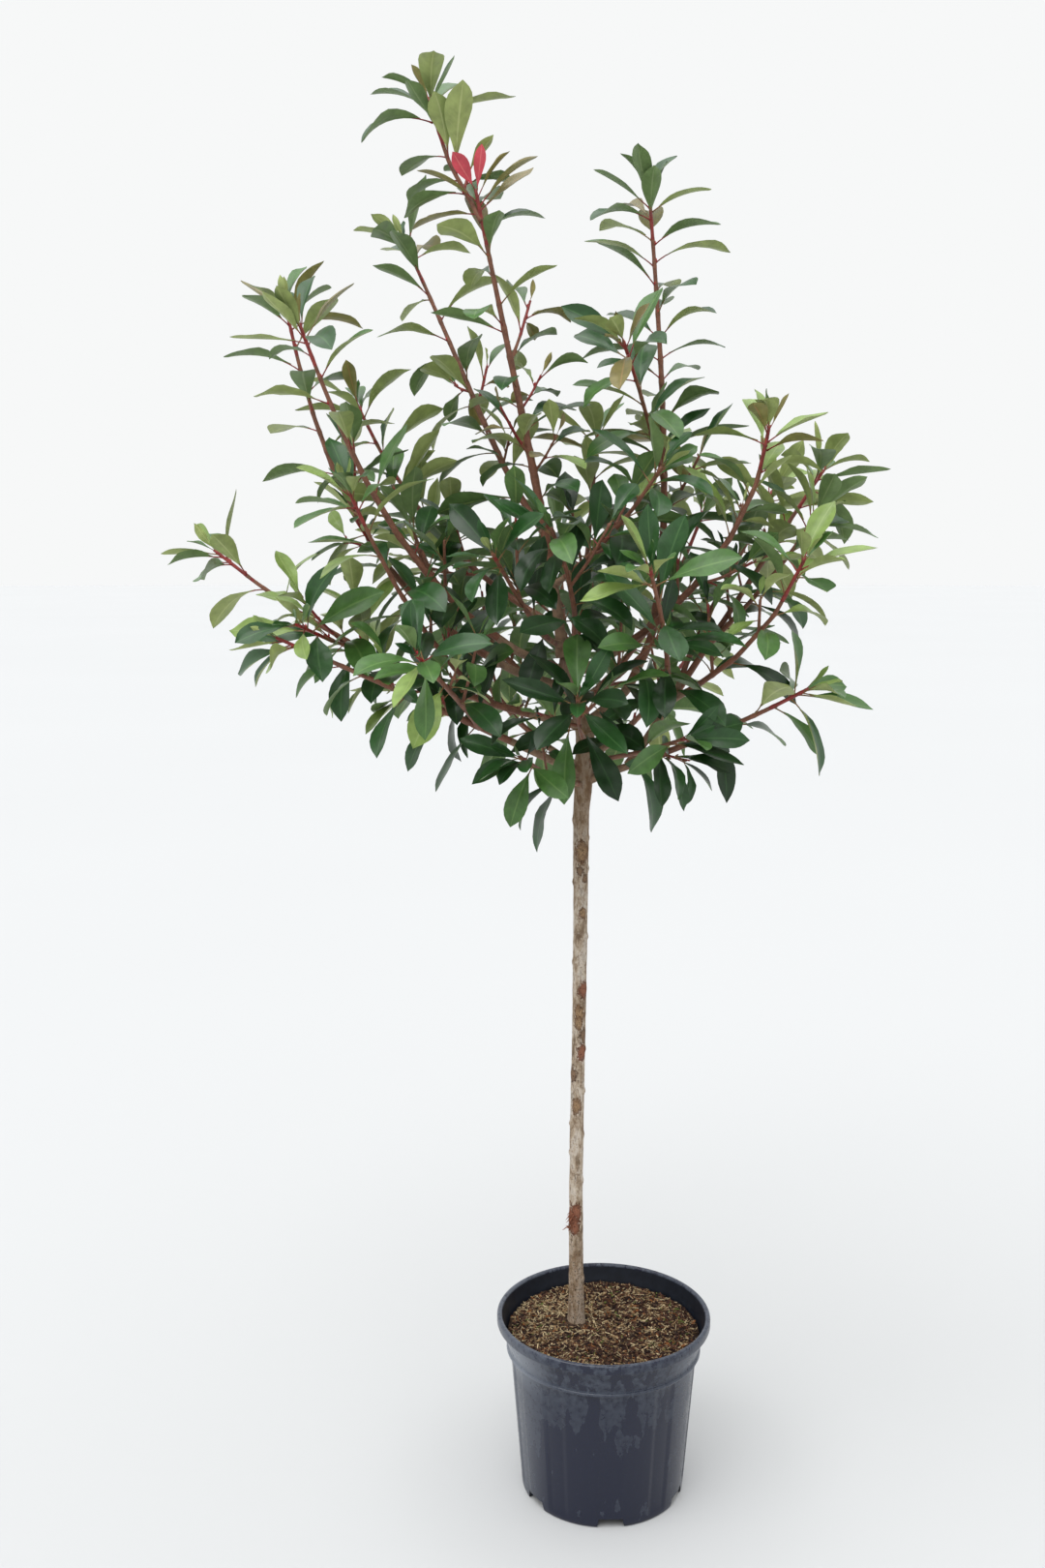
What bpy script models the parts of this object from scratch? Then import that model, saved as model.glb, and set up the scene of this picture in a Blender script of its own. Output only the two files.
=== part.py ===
"""A potted red tip photinia: a young half-standard tree in a round, dark plastic nursery pot.

Metres, +Z up. The origin is the middle of the pot's flat underside. -Y is the side that faces the
viewer and +X is their right. Compass bearings are in degrees, counted from +X towards +Y.

Every limb grows by one rule. It leaves its parent at a bearing and a lean from upright, turns
slowly to the lean of its tip, and tapers. Its lower part is a bare bough. Its upper part is the
stem of a mass of foliage: twigs branch from it by a seeded rule and leaves stand round it in a
spiral, except where one would touch a limb or another leaf.
"""

import math
import random
from collections import namedtuple

import bmesh
import bpy
from mathutils import Vector
from mathutils.bvhtree import BVHTree

GAP = 0.0003

# The pot: an outer wall that tapers in two steps under a rolled lip.
POT_HEIGHT = 0.2285
LIP_RADIUS = 0.134
LIP_DEPTH = 0.012
LIP_WIDTH = 0.0065
BAND_TOP_RADIUS = 0.1278
BAND_FOOT_RADIUS = 0.1195
BAND_FOOT_HEIGHT = 0.183
WALL_TOP_RADIUS = 0.1170
WALL_FOOT_RADIUS = 0.1022
WALL = 0.0022
FLOOR = 0.0025
POT_SIDES = 32

# The drain slots: notches round the foot of the wall, one of them almost in front.
SLOT_COUNT = 6
SLOT_BEARING = -87.0
SLOT_WIDTH = 0.034
SLOT_HEIGHT = 0.011
SLOT_DEPTH = 0.018

# The soil: a plug that fills the pot to 25 mm under the lip, cut back behind the drain slots.
SOIL_TOP = 0.2045
SOIL_EDGE_DROP = 0.004
SOIL_FLAT_RADIUS = 0.075

# The trunk: (height over the soil, x, y, radius), from the flat cut at the soil to the fork.
TRUNK_COURSE = (
    (0.000, -0.0336, 0.012, 0.0122),
    (0.014, -0.0338, 0.012, 0.0104),
    (0.060, -0.0342, 0.012, 0.0091),
    (0.195, -0.0350, 0.012, 0.0084),
    (0.370, -0.0328, 0.012, 0.0083),
    (0.530, -0.0312, 0.012, 0.0087),
    (0.660, -0.0312, 0.012, 0.0097),
    (0.705, -0.0278, 0.012, 0.0112),
    (0.755, -0.0268, 0.012, 0.0110),
    (0.808, -0.0415, 0.012, 0.0098),
    (0.846, -0.0530, 0.012, 0.0082),
)

# A shoot leaves its parent at a distance along it. It goes from one bearing and lean to another,
# and a turn over 1 brings it to its tip's lean early. Its bough is bare for the length given, and
# a shoot with none is a branch inside its parent's mass. The seed deals out its twigs and leaves.
Shoot = namedtuple("Shoot", "name on at compass lean turn length girth bare seed")
SHOOTS = (
    Shoot("leader", "trunk", 0.8500, (-175, -154), (6, 13), 3.4, 0.535, 0.0068, 0.170, 920),
    Shoot("leader_side", "leader", 0.500, (158, 158), (36, 10), 0.7, 0.155, 0.0026, None, 21),
    Shoot("left_high", "leader", 0.148, (130, 147), (54, 29), 5.0, 0.430, 0.0044, 0.045, 5322),
    Shoot("left_tall_back", "trunk", 0.808, (166, 158), (80, 13), 1.6, 0.624, 0.0056, 0.150, 523),
    Shoot("left_tall", "trunk", 0.828, (-173, -171), (72, 20), 1.9, 0.524, 0.0056, 0.140, 3924),
    Shoot("left_tall_side", "left_tall", 0.191, (128, 130), (38, 38), 1.0, 0.145, 0.0024, None, 25),
    Shoot("left_low", "trunk", 0.764, (178, 174), (80, 51), 1.1, 0.495, 0.0052, 0.105, 6126),
    Shoot("left_mid", "left_low", 0.114, (-141, -136), (55, 29), 1.5, 0.322, 0.0038, None, 1427),
    Shoot("left_inner", "leader", 0.036, (149, 150), (68, 28), 1.1, 0.409, 0.0042, 0.060, 4728),
    Shoot("left_low_side", "left_low", 0.279, (-118, -119), (81, 70), 1.3, 0.135, 0.0024, None, 29),
    Shoot("left_lowest", "trunk", 0.704, (-156, -168), (64, 66), 1.0, 0.405, 0.0054, 0.140, 1530),
    Shoot("front_left", "left_lowest", 0.148, (-109, -107), (60, 66), 1.8, 0.215, 0.0034, None, 9631),
    Shoot("front_mid", "leader", 0.015, (-114, -119), (88, 50), 3.2, 0.210, 0.0038, 0.040, 8632),
    Shoot("front_core", "trunk", 0.834, (-74, -126), (54, 38), 2.1, 0.226, 0.0040, 0.050, 1133),
    Shoot("front_high", "trunk", 0.792, (-66, -52), (74, 50), 1.0, 0.190, 0.0034, 0.035, 1434),
    Shoot("front_low", "trunk", 0.748, (-98, -92), (80, 60), 1.0, 0.190, 0.0034, 0.035, 8035),
    Shoot("foot_left", "trunk", 0.693, (-120, -116), (80, 64), 1.0, 0.170, 0.0034, 0.035, 10736),
    Shoot("foot_right", "trunk", 0.722, (-48, -58), (82, 70), 1.0, 0.180, 0.0034, 0.035, 8937),
    Shoot("heart_right", "leader", 0.085, (-42, -30), (62, 34), 1.0, 0.200, 0.0034, 0.030, 238),
    Shoot("right_tall", "trunk", 0.764, (3, 186), (70, 5), 6.0, 0.665, 0.0060, 0.140, 639),
    Shoot("right_tall_side", "right_tall", 0.330, (-115, -114), (38, 50), 1.0, 0.205, 0.0028, None, 40),
    Shoot("back_core", "trunk", 0.822, (79, 73), (54, 16), 2.1, 0.349, 0.0044, 0.060, 4541),
    Shoot("right_big", "trunk", 0.826, (-17, -20), (66, 0), 0.7, 0.386, 0.0054, 0.120, 10842),
    Shoot("right_low", "trunk", 0.697, (-18, -27), (70, 59), 0.6, 0.295, 0.0050, 0.130, 5443),
    Shoot("right_far", "right_low", 0.060, (13, 14), (34, 35), 0.9, 0.422, 0.0050, 0.165, 8844),
    Shoot("right_behind", "right_far", 0.108, (42, 56), (17, 45), 4.7, 0.314, 0.0036, 0.030, 10145),
    Shoot("right_far_side", "right_far", 0.172, (-4, -5), (46, 29), 0.7, 0.200, 0.0030, None, 11946),
    Shoot("right_out", "right_far", 0.096, (-46, -47), (68, 20), 0.7, 0.255, 0.0038, 0.030, 247),
    Shoot("front_right", "right_far", 0.073, (-87, -112), (66, 45), 1.6, 0.287, 0.0040, 0.035, 2148),
    Shoot("back_left", "trunk", 0.783, (140, 126), (74, 36), 1.4, 0.360, 0.0048, 0.085, 1949),
    Shoot("back_middle", "trunk", 0.742, (98, 92), (70, 30), 1.4, 0.380, 0.0048, 0.085, 3750),
    Shoot("back_right", "trunk", 0.790, (50, 48), (70, 32), 1.4, 0.360, 0.0048, 0.085, 2551),
    Shoot("back_low_left", "trunk", 0.712, (124, 118), (80, 56), 1.2, 0.330, 0.0046, 0.085, 1552),
    Shoot("back_low_right", "trunk", 0.722, (58, 54), (80, 54), 1.2, 0.320, 0.0046, 0.085, 8853),
)
AXIS_STEPS = 24
SEGMENT = 0.065
JOINT_LEAD = 0.004
TIP_RADIUS = 0.0019

# Leaves: folded along the midrib, widest past the middle, arched over towards the tip. Those at
# a tip are young, upright and close together. Old ones spread, and hang in the shade low down.
LEAF_LENGTH = 0.092
LEAF_WIDTH = 0.036
LEAF_GAP = 0.0275
TIP_GAP = 0.0080
YOUNG_REACH = 0.060
YOUNG_SIZE = 0.74
OLD_REACH = 0.300
SHADE_TOP = 1.05
SHADE_DEPTH = 0.12
HANG = 0.55
PETIOLE = 0.15
SHOULDERS = ((0.42, 0.88), (0.76, 0.80))
FOLD = 0.28
LEAF_THICKNESS = 0.0012
ROOT_DEPTH = 0.001
TURN_BETWEEN_LEAVES = 137.5
CLEARANCE = 0.0010
TRIES = 6

# Side twigs: short spurs in the axils along the lower part of a stem.
TWIG_CHANCE = 0.20
TWIG_LENGTHS = (0.035, 0.085)
TWIG_RADII = (0.0020, 0.0018, 0.0015)
TWIG_ROOM = 0.012
TWIG_SPREAD = 46.0
TWIG_ZONE = 0.40

Leaf = namedtuple("Leaf", "root along face length width bend")
Twig = namedtuple("Twig", "points radii")


def heading(compass, lean):
    """The unit vector at a compass bearing and a lean from upright, both in degrees."""
    bearing = math.radians(compass)
    tilt = math.radians(lean)
    level = math.sin(tilt)
    return Vector((level * math.cos(bearing), level * math.sin(bearing), math.cos(tilt)))


def between(first, last, share):
    return first + (last - first) * share


def point_at(axis, distance):
    """The point and direction at a distance along an axis, run on straight past its end."""
    for start, end in zip(axis, axis[1:]):
        step = (end - start).length
        if distance <= step or end is axis[-1]:
            along = (end - start).normalized()
            return start + along * distance, along
        distance -= step


def axis_of(shoot, root, lead=None):
    """The shoot's centre line, grown in small steps from its root, or from a lead that carries on."""
    axis = [root, root + lead] if lead else [root]
    for step in range(AXIS_STEPS):
        share = (step + 0.5) / AXIS_STEPS
        compass = between(shoot.compass[0], shoot.compass[1], share)
        lean = between(shoot.lean[1], shoot.lean[0], (1 - share) ** shoot.turn)
        axis.append(axis[-1] + heading(compass, lean) * shoot.length / AXIS_STEPS)
    return axis


def radius_at(shoot, distance):
    return between(shoot.girth, TIP_RADIUS, min(distance / shoot.length, 1.0))


def stretch(shoot, axis, start, end):
    """The points and radii of the part of a limb between two distances, its ends square."""
    first, first_along = point_at(axis, start)
    last, last_along = point_at(axis, end)
    count = max(2, round((end - start) / SEGMENT))
    inner = [start + (end - start) * step / count for step in range(1, count)]
    points = [first, first + first_along * JOINT_LEAD]
    points += [point_at(axis, distance)[0] for distance in inner]
    points += [last - last_along * JOINT_LEAD, last]
    spots = [start, start + JOINT_LEAD] + inner + [end - JOINT_LEAD, end]
    return Twig(points, [radius_at(shoot, spot) for spot in spots])


def leaf_points(leaf, spare=0.0, bare_root=False):
    """Eight points from root to tip: the root, two rings of left, under and right, and the tip."""
    side = leaf.face.cross(leaf.along)

    def place(share):
        angle = leaf.bend * share
        reach = math.sin(angle) / leaf.bend
        drop = (1 - math.cos(angle)) / leaf.bend
        centre = leaf.root + (leaf.along * reach - leaf.face * drop) * leaf.length
        return centre, leaf.face * math.cos(angle) + leaf.along * math.sin(angle)

    points = [place(PETIOLE)[0] if bare_root else leaf.root - leaf.along * ROOT_DEPTH]
    for share, breadth in SHOULDERS:
        centre, over = place(share)
        half = leaf.width / 2 * breadth + spare
        points.append(centre - side * half + over * half * FOLD)
        points.append(centre - over * (LEAF_THICKNESS + spare))
        points.append(centre + side * half + over * half * FOLD)
    points.append(place(1.0)[0])
    return points


def leaf_cage():
    """The faces of a globe of three segments and two rings, its points in leaf_points's order."""
    globe = bmesh.new()
    bmesh.ops.create_uvsphere(globe, u_segments=3, v_segments=3, radius=1.0)
    order = sorted(globe.verts, key=lambda v: (round(v.co.z, 3), math.atan2(v.co.y, v.co.x)))
    place = {vertex: number for number, vertex in enumerate(order)}
    faces = [[place[vertex] for vertex in face.verts] for face in globe.faces]
    globe.free()
    return faces


LEAF_FACES = leaf_cage()


class Space:
    """What has grown so far: a search tree, its middle and its reach for each solid."""

    def __init__(self):
        self.taken = []

    def add(self, points, faces, owner):
        middle = sum(points, Vector()) / len(points)
        reach = max((point - middle).length for point in points)
        self.taken.append((BVHTree.FromPolygons(points, faces), middle, reach, owner))

    def clear(self, points, faces, wanted):
        """Whether a shape meets none of the solids whose owner is wanted."""
        middle = sum(points, Vector()) / len(points)
        reach = max((point - middle).length for point in points)
        tree = BVHTree.FromPolygons(points, faces)
        for other, centre, size, owner in self.taken:
            near = (centre - middle).length < reach + size
            if near and wanted(owner) and tree.overlap(other):
                return False
        return True


def outward(along, turn):
    """The unit vector square to a stem at a turn round it, lifted a little towards the light."""
    rest = Vector((0, 0, 1)) if abs(along.z) < 0.9 else Vector((1, 0, 0))
    first = along.cross(rest).normalized()
    second = along.cross(first)
    radial = first * math.cos(turn) + second * math.sin(turn)
    lifted = radial + Vector((0, 0, 0.35)) * (1 - abs(along.z))
    return (lifted - along * lifted.dot(along)).normalized()


def leaf_on(point, along, turn, young, old, chance):
    """One leaf at a node of a stem: upright and small near the tip, spread and arched below."""
    spread = math.radians(42 - 20 * young + 10 * old + chance.uniform(-9, 9))
    turned = outward(along, turn)
    hang = min(1.0, max(0.0, (SHADE_TOP - point.z) / SHADE_DEPTH))
    direction = along * math.cos(spread) + turned * math.sin(spread)
    direction = (direction - Vector((0, 0, HANG)) * hang).normalized()
    above = along * 0.6 + Vector((0, 0, 0.8))
    face = (above - direction * above.dot(direction)).normalized()
    roll = math.radians(chance.uniform(-18, 18))
    face = (face * math.cos(roll) + direction.cross(face) * math.sin(roll)).normalized()
    size = between(1.0, YOUNG_SIZE, young) * chance.uniform(0.86, 1.12)
    bend = math.radians(between(66, 36, young) * chance.uniform(0.6, 1.4))
    length = LEAF_LENGTH * size
    width = LEAF_WIDTH * size * chance.uniform(0.9, 1.08)
    return Leaf(point, direction, face, length, width, bend)


def grow_leaves(axis, start, end, owner, space, chance):
    """Leaves in a spiral up a stem, each tried a few times and skipped where nothing is clear."""
    leaves = []
    turn = chance.uniform(0, 360)
    distance = start
    while distance < end:
        young = max(0.0, 1 - (end - distance) / YOUNG_REACH)
        old = min(1.0, (end - distance) / OLD_REACH)
        point, along = point_at(axis, distance)
        for trial in range(TRIES):
            nudge = chance.uniform(-1, 1) * (8 + 9 * trial)
            leaf = leaf_on(point, along, math.radians(turn + nudge), young, old, chance)
            whole = leaf_points(leaf, CLEARANCE)
            blade = leaf_points(leaf, CLEARANCE, bare_root=True)
            others_clear = space.clear(whole, LEAF_FACES, lambda name: name != owner)
            if others_clear and space.clear(blade, LEAF_FACES, lambda name: name == owner):
                leaves.append(leaf)
                space.add(leaf_points(leaf), LEAF_FACES, owner)
                break
        turn += TURN_BETWEEN_LEAVES
        distance += between(LEAF_GAP, TIP_GAP, young) * chance.uniform(0.85, 1.15)
    return leaves


def grow_twigs(axis, start, end, owner, space, chance):
    """Short spurs in the axils along the lower part of a stem."""
    twigs = []
    distance = start
    turn = chance.uniform(0, 360)
    while distance < between(start, end, TWIG_ZONE):
        distance += LEAF_GAP
        turn += TURN_BETWEEN_LEAVES
        if chance.random() > TWIG_CHANCE:
            continue
        point, along = point_at(axis, distance)
        spread = math.radians(TWIG_SPREAD + chance.uniform(-8, 8))
        turned = outward(along, math.radians(turn))
        direction = along * math.cos(spread) + turned * math.sin(spread)
        direction = (direction + Vector((0, 0, 0.25))).normalized()
        length = chance.uniform(*TWIG_LENGTHS)
        tip = point + direction * length + Vector((0, 0, 0.10)) * length
        middle = point + direction * length / 2
        face = outward(direction, 0.0)
        probe = Leaf(point, direction, face, length, TWIG_ROOM, math.radians(1))
        if space.clear(leaf_points(probe, CLEARANCE), LEAF_FACES, lambda name: name != owner):
            twigs.append(Twig([point, middle, tip], list(TWIG_RADII)))
    return twigs


def new_material(name, colour, roughness):
    material = bpy.data.materials.new(name)
    material.use_nodes = True
    shader = material.node_tree.nodes["Principled BSDF"]
    shader.inputs["Base Color"].default_value = (*colour, 1)
    shader.inputs["Roughness"].default_value = roughness
    shader.inputs["Metallic"].default_value = 0.0
    return material


def new_object(name, mesh, collection, material=None):
    thing = bpy.data.objects.new(name, mesh)
    collection.objects.link(thing)
    if material:
        mesh.materials.clear()
        mesh.materials.append(material)
    return thing


def tube_mesh(name, points, radii, sides):
    """A tapering limb as a closed mesh: a curve with a round or three-sided bevel, caps welded."""
    curve = bpy.data.curves.new(name, "CURVE")
    curve.dimensions = "3D"
    curve.use_fill_caps = True
    profile = None
    if sides == 3:
        outline = bpy.data.curves.new(name + "_profile", "CURVE")
        corners = outline.splines.new("POLY")
        corners.points.add(2)
        corners.use_cyclic_u = True
        for number, corner in enumerate(corners.points):
            angle = math.radians(120 * number)
            corner.co = (math.cos(angle), math.sin(angle), 0, 1)
        profile = bpy.data.objects.new(name + "_profile", outline)
        bpy.context.scene.collection.objects.link(profile)
        curve.bevel_mode = "OBJECT"
        curve.bevel_object = profile
    else:
        curve.bevel_depth = 1.0
        curve.bevel_resolution = sides // 2 - 2
    line = curve.splines.new("POLY")
    line.points.add(len(points) - 1)
    for spot, point, radius in zip(line.points, points, radii):
        spot.co = (*point, 1)
        spot.radius = radius
    limb = bpy.data.objects.new(name, curve)
    bpy.context.scene.collection.objects.link(limb)
    graph = bpy.context.evaluated_depsgraph_get()
    mesh = bpy.data.meshes.new_from_object(limb.evaluated_get(graph))
    bpy.data.objects.remove(limb)
    if profile:
        bpy.data.objects.remove(profile)
    shell = bmesh.new()
    shell.from_mesh(mesh)
    bmesh.ops.remove_doubles(shell, verts=shell.verts, dist=1e-6)
    bmesh.ops.recalc_face_normals(shell, faces=shell.faces)
    shell.to_mesh(mesh)
    shell.free()
    mesh.name = name
    return mesh


def shape_of(mesh):
    points = [vertex.co.copy() for vertex in mesh.vertices]
    return points, [list(face.vertices) for face in mesh.polygons]


def leaf_object(name, leaf, collection):
    """One leaf: a coarse globe primitive whose points are moved to the leaf's own."""
    globe = bmesh.new()
    bmesh.ops.create_uvsphere(globe, u_segments=3, v_segments=3, radius=1.0)
    order = sorted(globe.verts, key=lambda v: (round(v.co.z, 3), math.atan2(v.co.y, v.co.x)))
    for vertex, point in zip(order, leaf_points(leaf)):
        vertex.co = point
    mesh = bpy.data.meshes.new(name)
    globe.to_mesh(mesh)
    globe.free()
    return new_object(name, mesh, collection)


def keep_main_body(mesh):
    """Drops loose scraps and sealed hollows: all that no chain of edges joins to the largest body."""
    shell = bmesh.new()
    shell.from_mesh(mesh)
    bmesh.ops.remove_doubles(shell, verts=shell.verts, dist=2e-6)
    left = set(shell.faces)
    bodies = []
    while left:
        search = [left.pop()]
        body = set(search)
        while search:
            for edge in search.pop().edges:
                found = left.intersection(edge.link_faces)
                left -= found
                body |= found
                search.extend(found)
        bodies.append(body)
    main = max(bodies, key=len)
    scraps = [face for body in bodies if body is not main for face in body]
    bmesh.ops.delete(shell, geom=scraps, context="FACES")
    shell.to_mesh(mesh)
    shell.free()


def settle(thing):
    """Applies an object's Boolean modifiers and keeps its main body."""
    material = thing.data.materials[0]
    bpy.context.view_layer.update()
    graph = bpy.context.evaluated_depsgraph_get()
    mesh = bpy.data.meshes.new_from_object(thing.evaluated_get(graph))
    thing.modifiers.clear()
    keep_main_body(mesh)
    thing.data = mesh
    mesh.materials.clear()
    mesh.materials.append(material)


def fuse(stem, pieces):
    """Joins a mass: one Boolean union of its stem with a collection of twigs and leaves."""
    union = stem.modifiers.new("union", "BOOLEAN")
    union.operation = "UNION"
    union.operand_type = "COLLECTION"
    union.collection = pieces
    union.solver = "EXACT"
    settle(stem)
    for piece in list(pieces.objects):
        bpy.data.objects.remove(piece)


def turned(name, profile, sides, collection, material):
    """A turned solid from an outline that starts and ends on the axis, given as (radius, z)."""
    outline = bmesh.new()
    corners = [outline.verts.new((radius, 0, z)) for radius, z in profile]
    for first, second in zip(corners, corners[1:]):
        outline.edges.new((first, second))
    mesh = bpy.data.meshes.new(name)
    outline.to_mesh(mesh)
    outline.free()
    thing = new_object(name, mesh, collection, material)
    screw = thing.modifiers.new("turn", "SCREW")
    screw.axis = "Z"
    screw.angle = math.tau
    screw.steps = sides
    screw.render_steps = sides
    screw.use_merge_vertices = True
    screw.merge_threshold = 0.00005
    return thing


def cut(thing, cutter):
    cutting = thing.modifiers.new("cut", "BOOLEAN")
    cutting.operation = "DIFFERENCE"
    cutting.object = cutter
    cutting.solver = "EXACT"


def as_cutter(thing):
    thing.hide_render = True
    thing.display_type = "WIRE"
    return thing


def inner_radius(z):
    """The inside of the pot's wall at a height: the wall is two straight tapers."""
    if z < BAND_FOOT_HEIGHT:
        share = z / BAND_FOOT_HEIGHT
        return between(WALL_FOOT_RADIUS, WALL_TOP_RADIUS, share) - WALL
    share = (z - BAND_FOOT_HEIGHT) / (POT_HEIGHT - LIP_DEPTH - BAND_FOOT_HEIGHT)
    return between(BAND_FOOT_RADIUS, BAND_TOP_RADIUS, share) - WALL


def make_pot(parts, cutters, plastic):
    """The pot: one thin shell, turned, with a rolled lip, a band and six notches at its foot."""
    top = POT_HEIGHT
    lip_foot = top - LIP_DEPTH
    lip_middle = LIP_RADIUS - LIP_WIDTH / 2
    step = BAND_FOOT_HEIGHT
    profile = [
        (0, FLOOR),
        (inner_radius(FLOOR), FLOOR),
        (inner_radius(step - 0.002), step - 0.002),
        (inner_radius(step + 0.001), step + 0.001),
        (inner_radius(lip_foot), lip_foot),
        (LIP_RADIUS - LIP_WIDTH, top - 0.0025),
        (lip_middle, top),
        (LIP_RADIUS - 0.0008, top - 0.0022),
        (LIP_RADIUS, top - 0.0055),
        (LIP_RADIUS - 0.0012, lip_foot + 0.001),
        (BAND_TOP_RADIUS + 0.0005, lip_foot - 0.0005),
        (BAND_FOOT_RADIUS, step),
        (WALL_TOP_RADIUS, step - 0.002),
        (WALL_FOOT_RADIUS, 0.003),
        (WALL_FOOT_RADIUS - 0.002, 0),
        (0, 0),
    ]
    pot = turned("pot", profile, POT_SIDES, parts, plastic)
    notches = bmesh.new()
    for number in range(SLOT_COUNT):
        bearing = math.radians(SLOT_BEARING + number * 360 / SLOT_COUNT)
        block = bmesh.ops.create_cube(notches, size=1.0)["verts"]
        for corner in block:
            across = SLOT_WIDTH * (0.86 if corner.co.z > 0 else 1.1)
            inward = WALL_FOOT_RADIUS - SLOT_DEPTH
            out = inward if corner.co.x < 0 else WALL_FOOT_RADIUS + 0.01
            height = SLOT_HEIGHT if corner.co.z > 0 else -0.01
            side = across * corner.co.y
            x = out * math.cos(bearing) - side * math.sin(bearing)
            y = out * math.sin(bearing) + side * math.cos(bearing)
            corner.co = (x, y, height)
    mesh = bpy.data.meshes.new("drain_slots")
    notches.to_mesh(mesh)
    notches.free()
    cut(pot, as_cutter(new_object("drain_slots", mesh, cutters)))


def make_soil(parts, earth):
    """The soil: a turned plug 0.3 mm clear of the pot, its foot drawn in behind the slots."""
    edge = SOIL_TOP - SOIL_EDGE_DROP
    step = BAND_FOOT_HEIGHT
    foot = WALL_FOOT_RADIUS - SLOT_DEPTH - 0.001
    shelf = SLOT_HEIGHT + 0.001
    clear = 2 * GAP
    profile = [
        (0, SOIL_TOP),
        (SOIL_FLAT_RADIUS, SOIL_TOP),
        (inner_radius(edge) - clear, edge),
        (inner_radius(step + 0.003) - clear, step + 0.003),
        (inner_radius(step - 0.002) - clear, step - 0.002),
        (inner_radius(shelf) - clear, shelf),
        (foot, shelf),
        (foot, FLOOR + GAP),
        (0, FLOOR + GAP),
    ]
    turned("soil", profile, POT_SIDES, parts, earth)


def make_tree(parts, cutters, bark, shoots_bark, foliage):
    """Trunk, boughs and masses, each its own solid."""
    base = Vector((0, 0, SOIL_TOP + GAP))
    course = [base + Vector((x, y, rise)) for rise, x, y, _ in TRUNK_COURSE]
    girths = [radius for *_, radius in TRUNK_COURSE]
    new_object("trunk", tube_mesh("trunk", course, girths, 10), parts, bark)
    wider = [radius + GAP for radius in girths]
    trunk_cutter = tube_mesh("trunk_saddle", course, wider, 10)
    saddles = {"trunk": as_cutter(new_object("trunk_saddle", trunk_cutter, cutters))}
    space = Space()
    space.add(*shape_of(parts.objects["trunk"].data), "trunk")
    axes = {"trunk": course}
    parents = {shoot.on for shoot in SHOOTS if shoot.bare}
    for shoot in SHOOTS:
        root, along = point_at(axes[shoot.on], shoot.at)
        is_leader = shoot.name == "leader"
        if is_leader:
            axes[shoot.name] = axis_of(shoot, root + along * GAP, along * JOINT_LEAD * 1.5)
        else:
            axes[shoot.name] = axis_of(shoot, root)
        if not shoot.bare:
            continue
        name = "bough_" + shoot.name
        limb = stretch(shoot, axes[shoot.name], 0.0, shoot.bare)
        mesh = tube_mesh(name, *limb, 6)
        bough = new_object(name, mesh, parts, shoots_bark)
        space.add(*shape_of(mesh), name)
        if not is_leader:
            cut(bough, saddles[shoot.on])
            settle(bough)
        if shoot.name in parents:
            fat = [radius + GAP for radius in limb.radii]
            cutter = tube_mesh(name + "_saddle", limb.points, fat, 6)
            saddles[shoot.name] = as_cutter(new_object(name + "_saddle", cutter, cutters))
    for mass, stems in foliage_plan(axes, space):
        make_mass(mass, stems, parts, shoots_bark, foliage)


def foliage_plan(axes, space):
    """(mass, [(stem, leaves)]) for each mass, in the order of SHOOTS."""
    plan = []
    stems = {}
    for shoot in SHOOTS:
        mass = shoot.name if shoot.bare else shoot.on
        start = shoot.bare + GAP if shoot.bare else 0.0
        stem = stretch(shoot, axes[shoot.name], start, shoot.length)
        space.add(*shape_of(tube_mesh("stem", *stem, 3)), mass)
        stems.setdefault(mass, []).append((shoot, stem))
    for mass, members in stems.items():
        chance = random.Random(members[0][0].seed)
        grown = []
        for shoot, stem in members:
            reach = sum((b - a).length for a, b in zip(stem.points, stem.points[1:]))
            twigs = grow_twigs(stem.points, 0.01, reach, mass, space, chance)
            for twig in twigs:
                space.add(*shape_of(tube_mesh("twig", *twig, 3)), mass)
            for twig in twigs:
                length = (twig.points[-1] - twig.points[0]).length
                leaves = grow_leaves(twig.points, 0.016, length, mass, space, chance)
                grown.append((twig, leaves))
            leaves = grow_leaves(stem.points, 0.012, reach, mass, space, chance)
            grown.append((stem, leaves))
        main = grown.pop(next(i for i, (twig, _) in enumerate(grown) if twig is members[0][1]))
        plan.append((mass, [main] + grown))
    return plan


def make_mass(mass, stems, parts, wood, leaf_green):
    """One mass of foliage: stem, twigs and leaves fused into a single solid."""
    name = "foliage_" + mass
    pieces = bpy.data.collections.new(name + "_pieces")
    bpy.context.scene.collection.children.link(pieces)
    main, _ = stems[0]
    stem = new_object(name, tube_mesh(name, *main, 3), parts, leaf_green)
    for twig, _ in stems[1:]:
        new_object("twig", tube_mesh("twig", *twig, 3), pieces)
    for _, leaves in stems:
        for leaf in leaves:
            leaf_object("leaf", leaf, pieces)
    fuse(stem, pieces)
    bpy.data.collections.remove(pieces)


def main():
    for thing in list(bpy.data.objects):
        bpy.data.objects.remove(thing)
    parts = bpy.data.collections.new("potted_red_tip_photinia")
    cutters = bpy.data.collections.new("cutters")
    for collection in (parts, cutters):
        bpy.context.scene.collection.children.link(collection)
    plastic = new_material("dark_plastic", (0.040, 0.048, 0.064), 0.38)
    earth = new_material("bark_compost", (0.110, 0.070, 0.042), 0.95)
    bark = new_material("grey_bark", (0.300, 0.235, 0.165), 0.90)
    shoots_bark = new_material("brown_bark", (0.190, 0.085, 0.055), 0.75)
    foliage = new_material("leaf_green", (0.050, 0.130, 0.045), 0.40)
    make_pot(parts, cutters, plastic)
    make_soil(parts, earth)
    make_tree(parts, cutters, bark, shoots_bark, foliage)


main()
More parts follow.
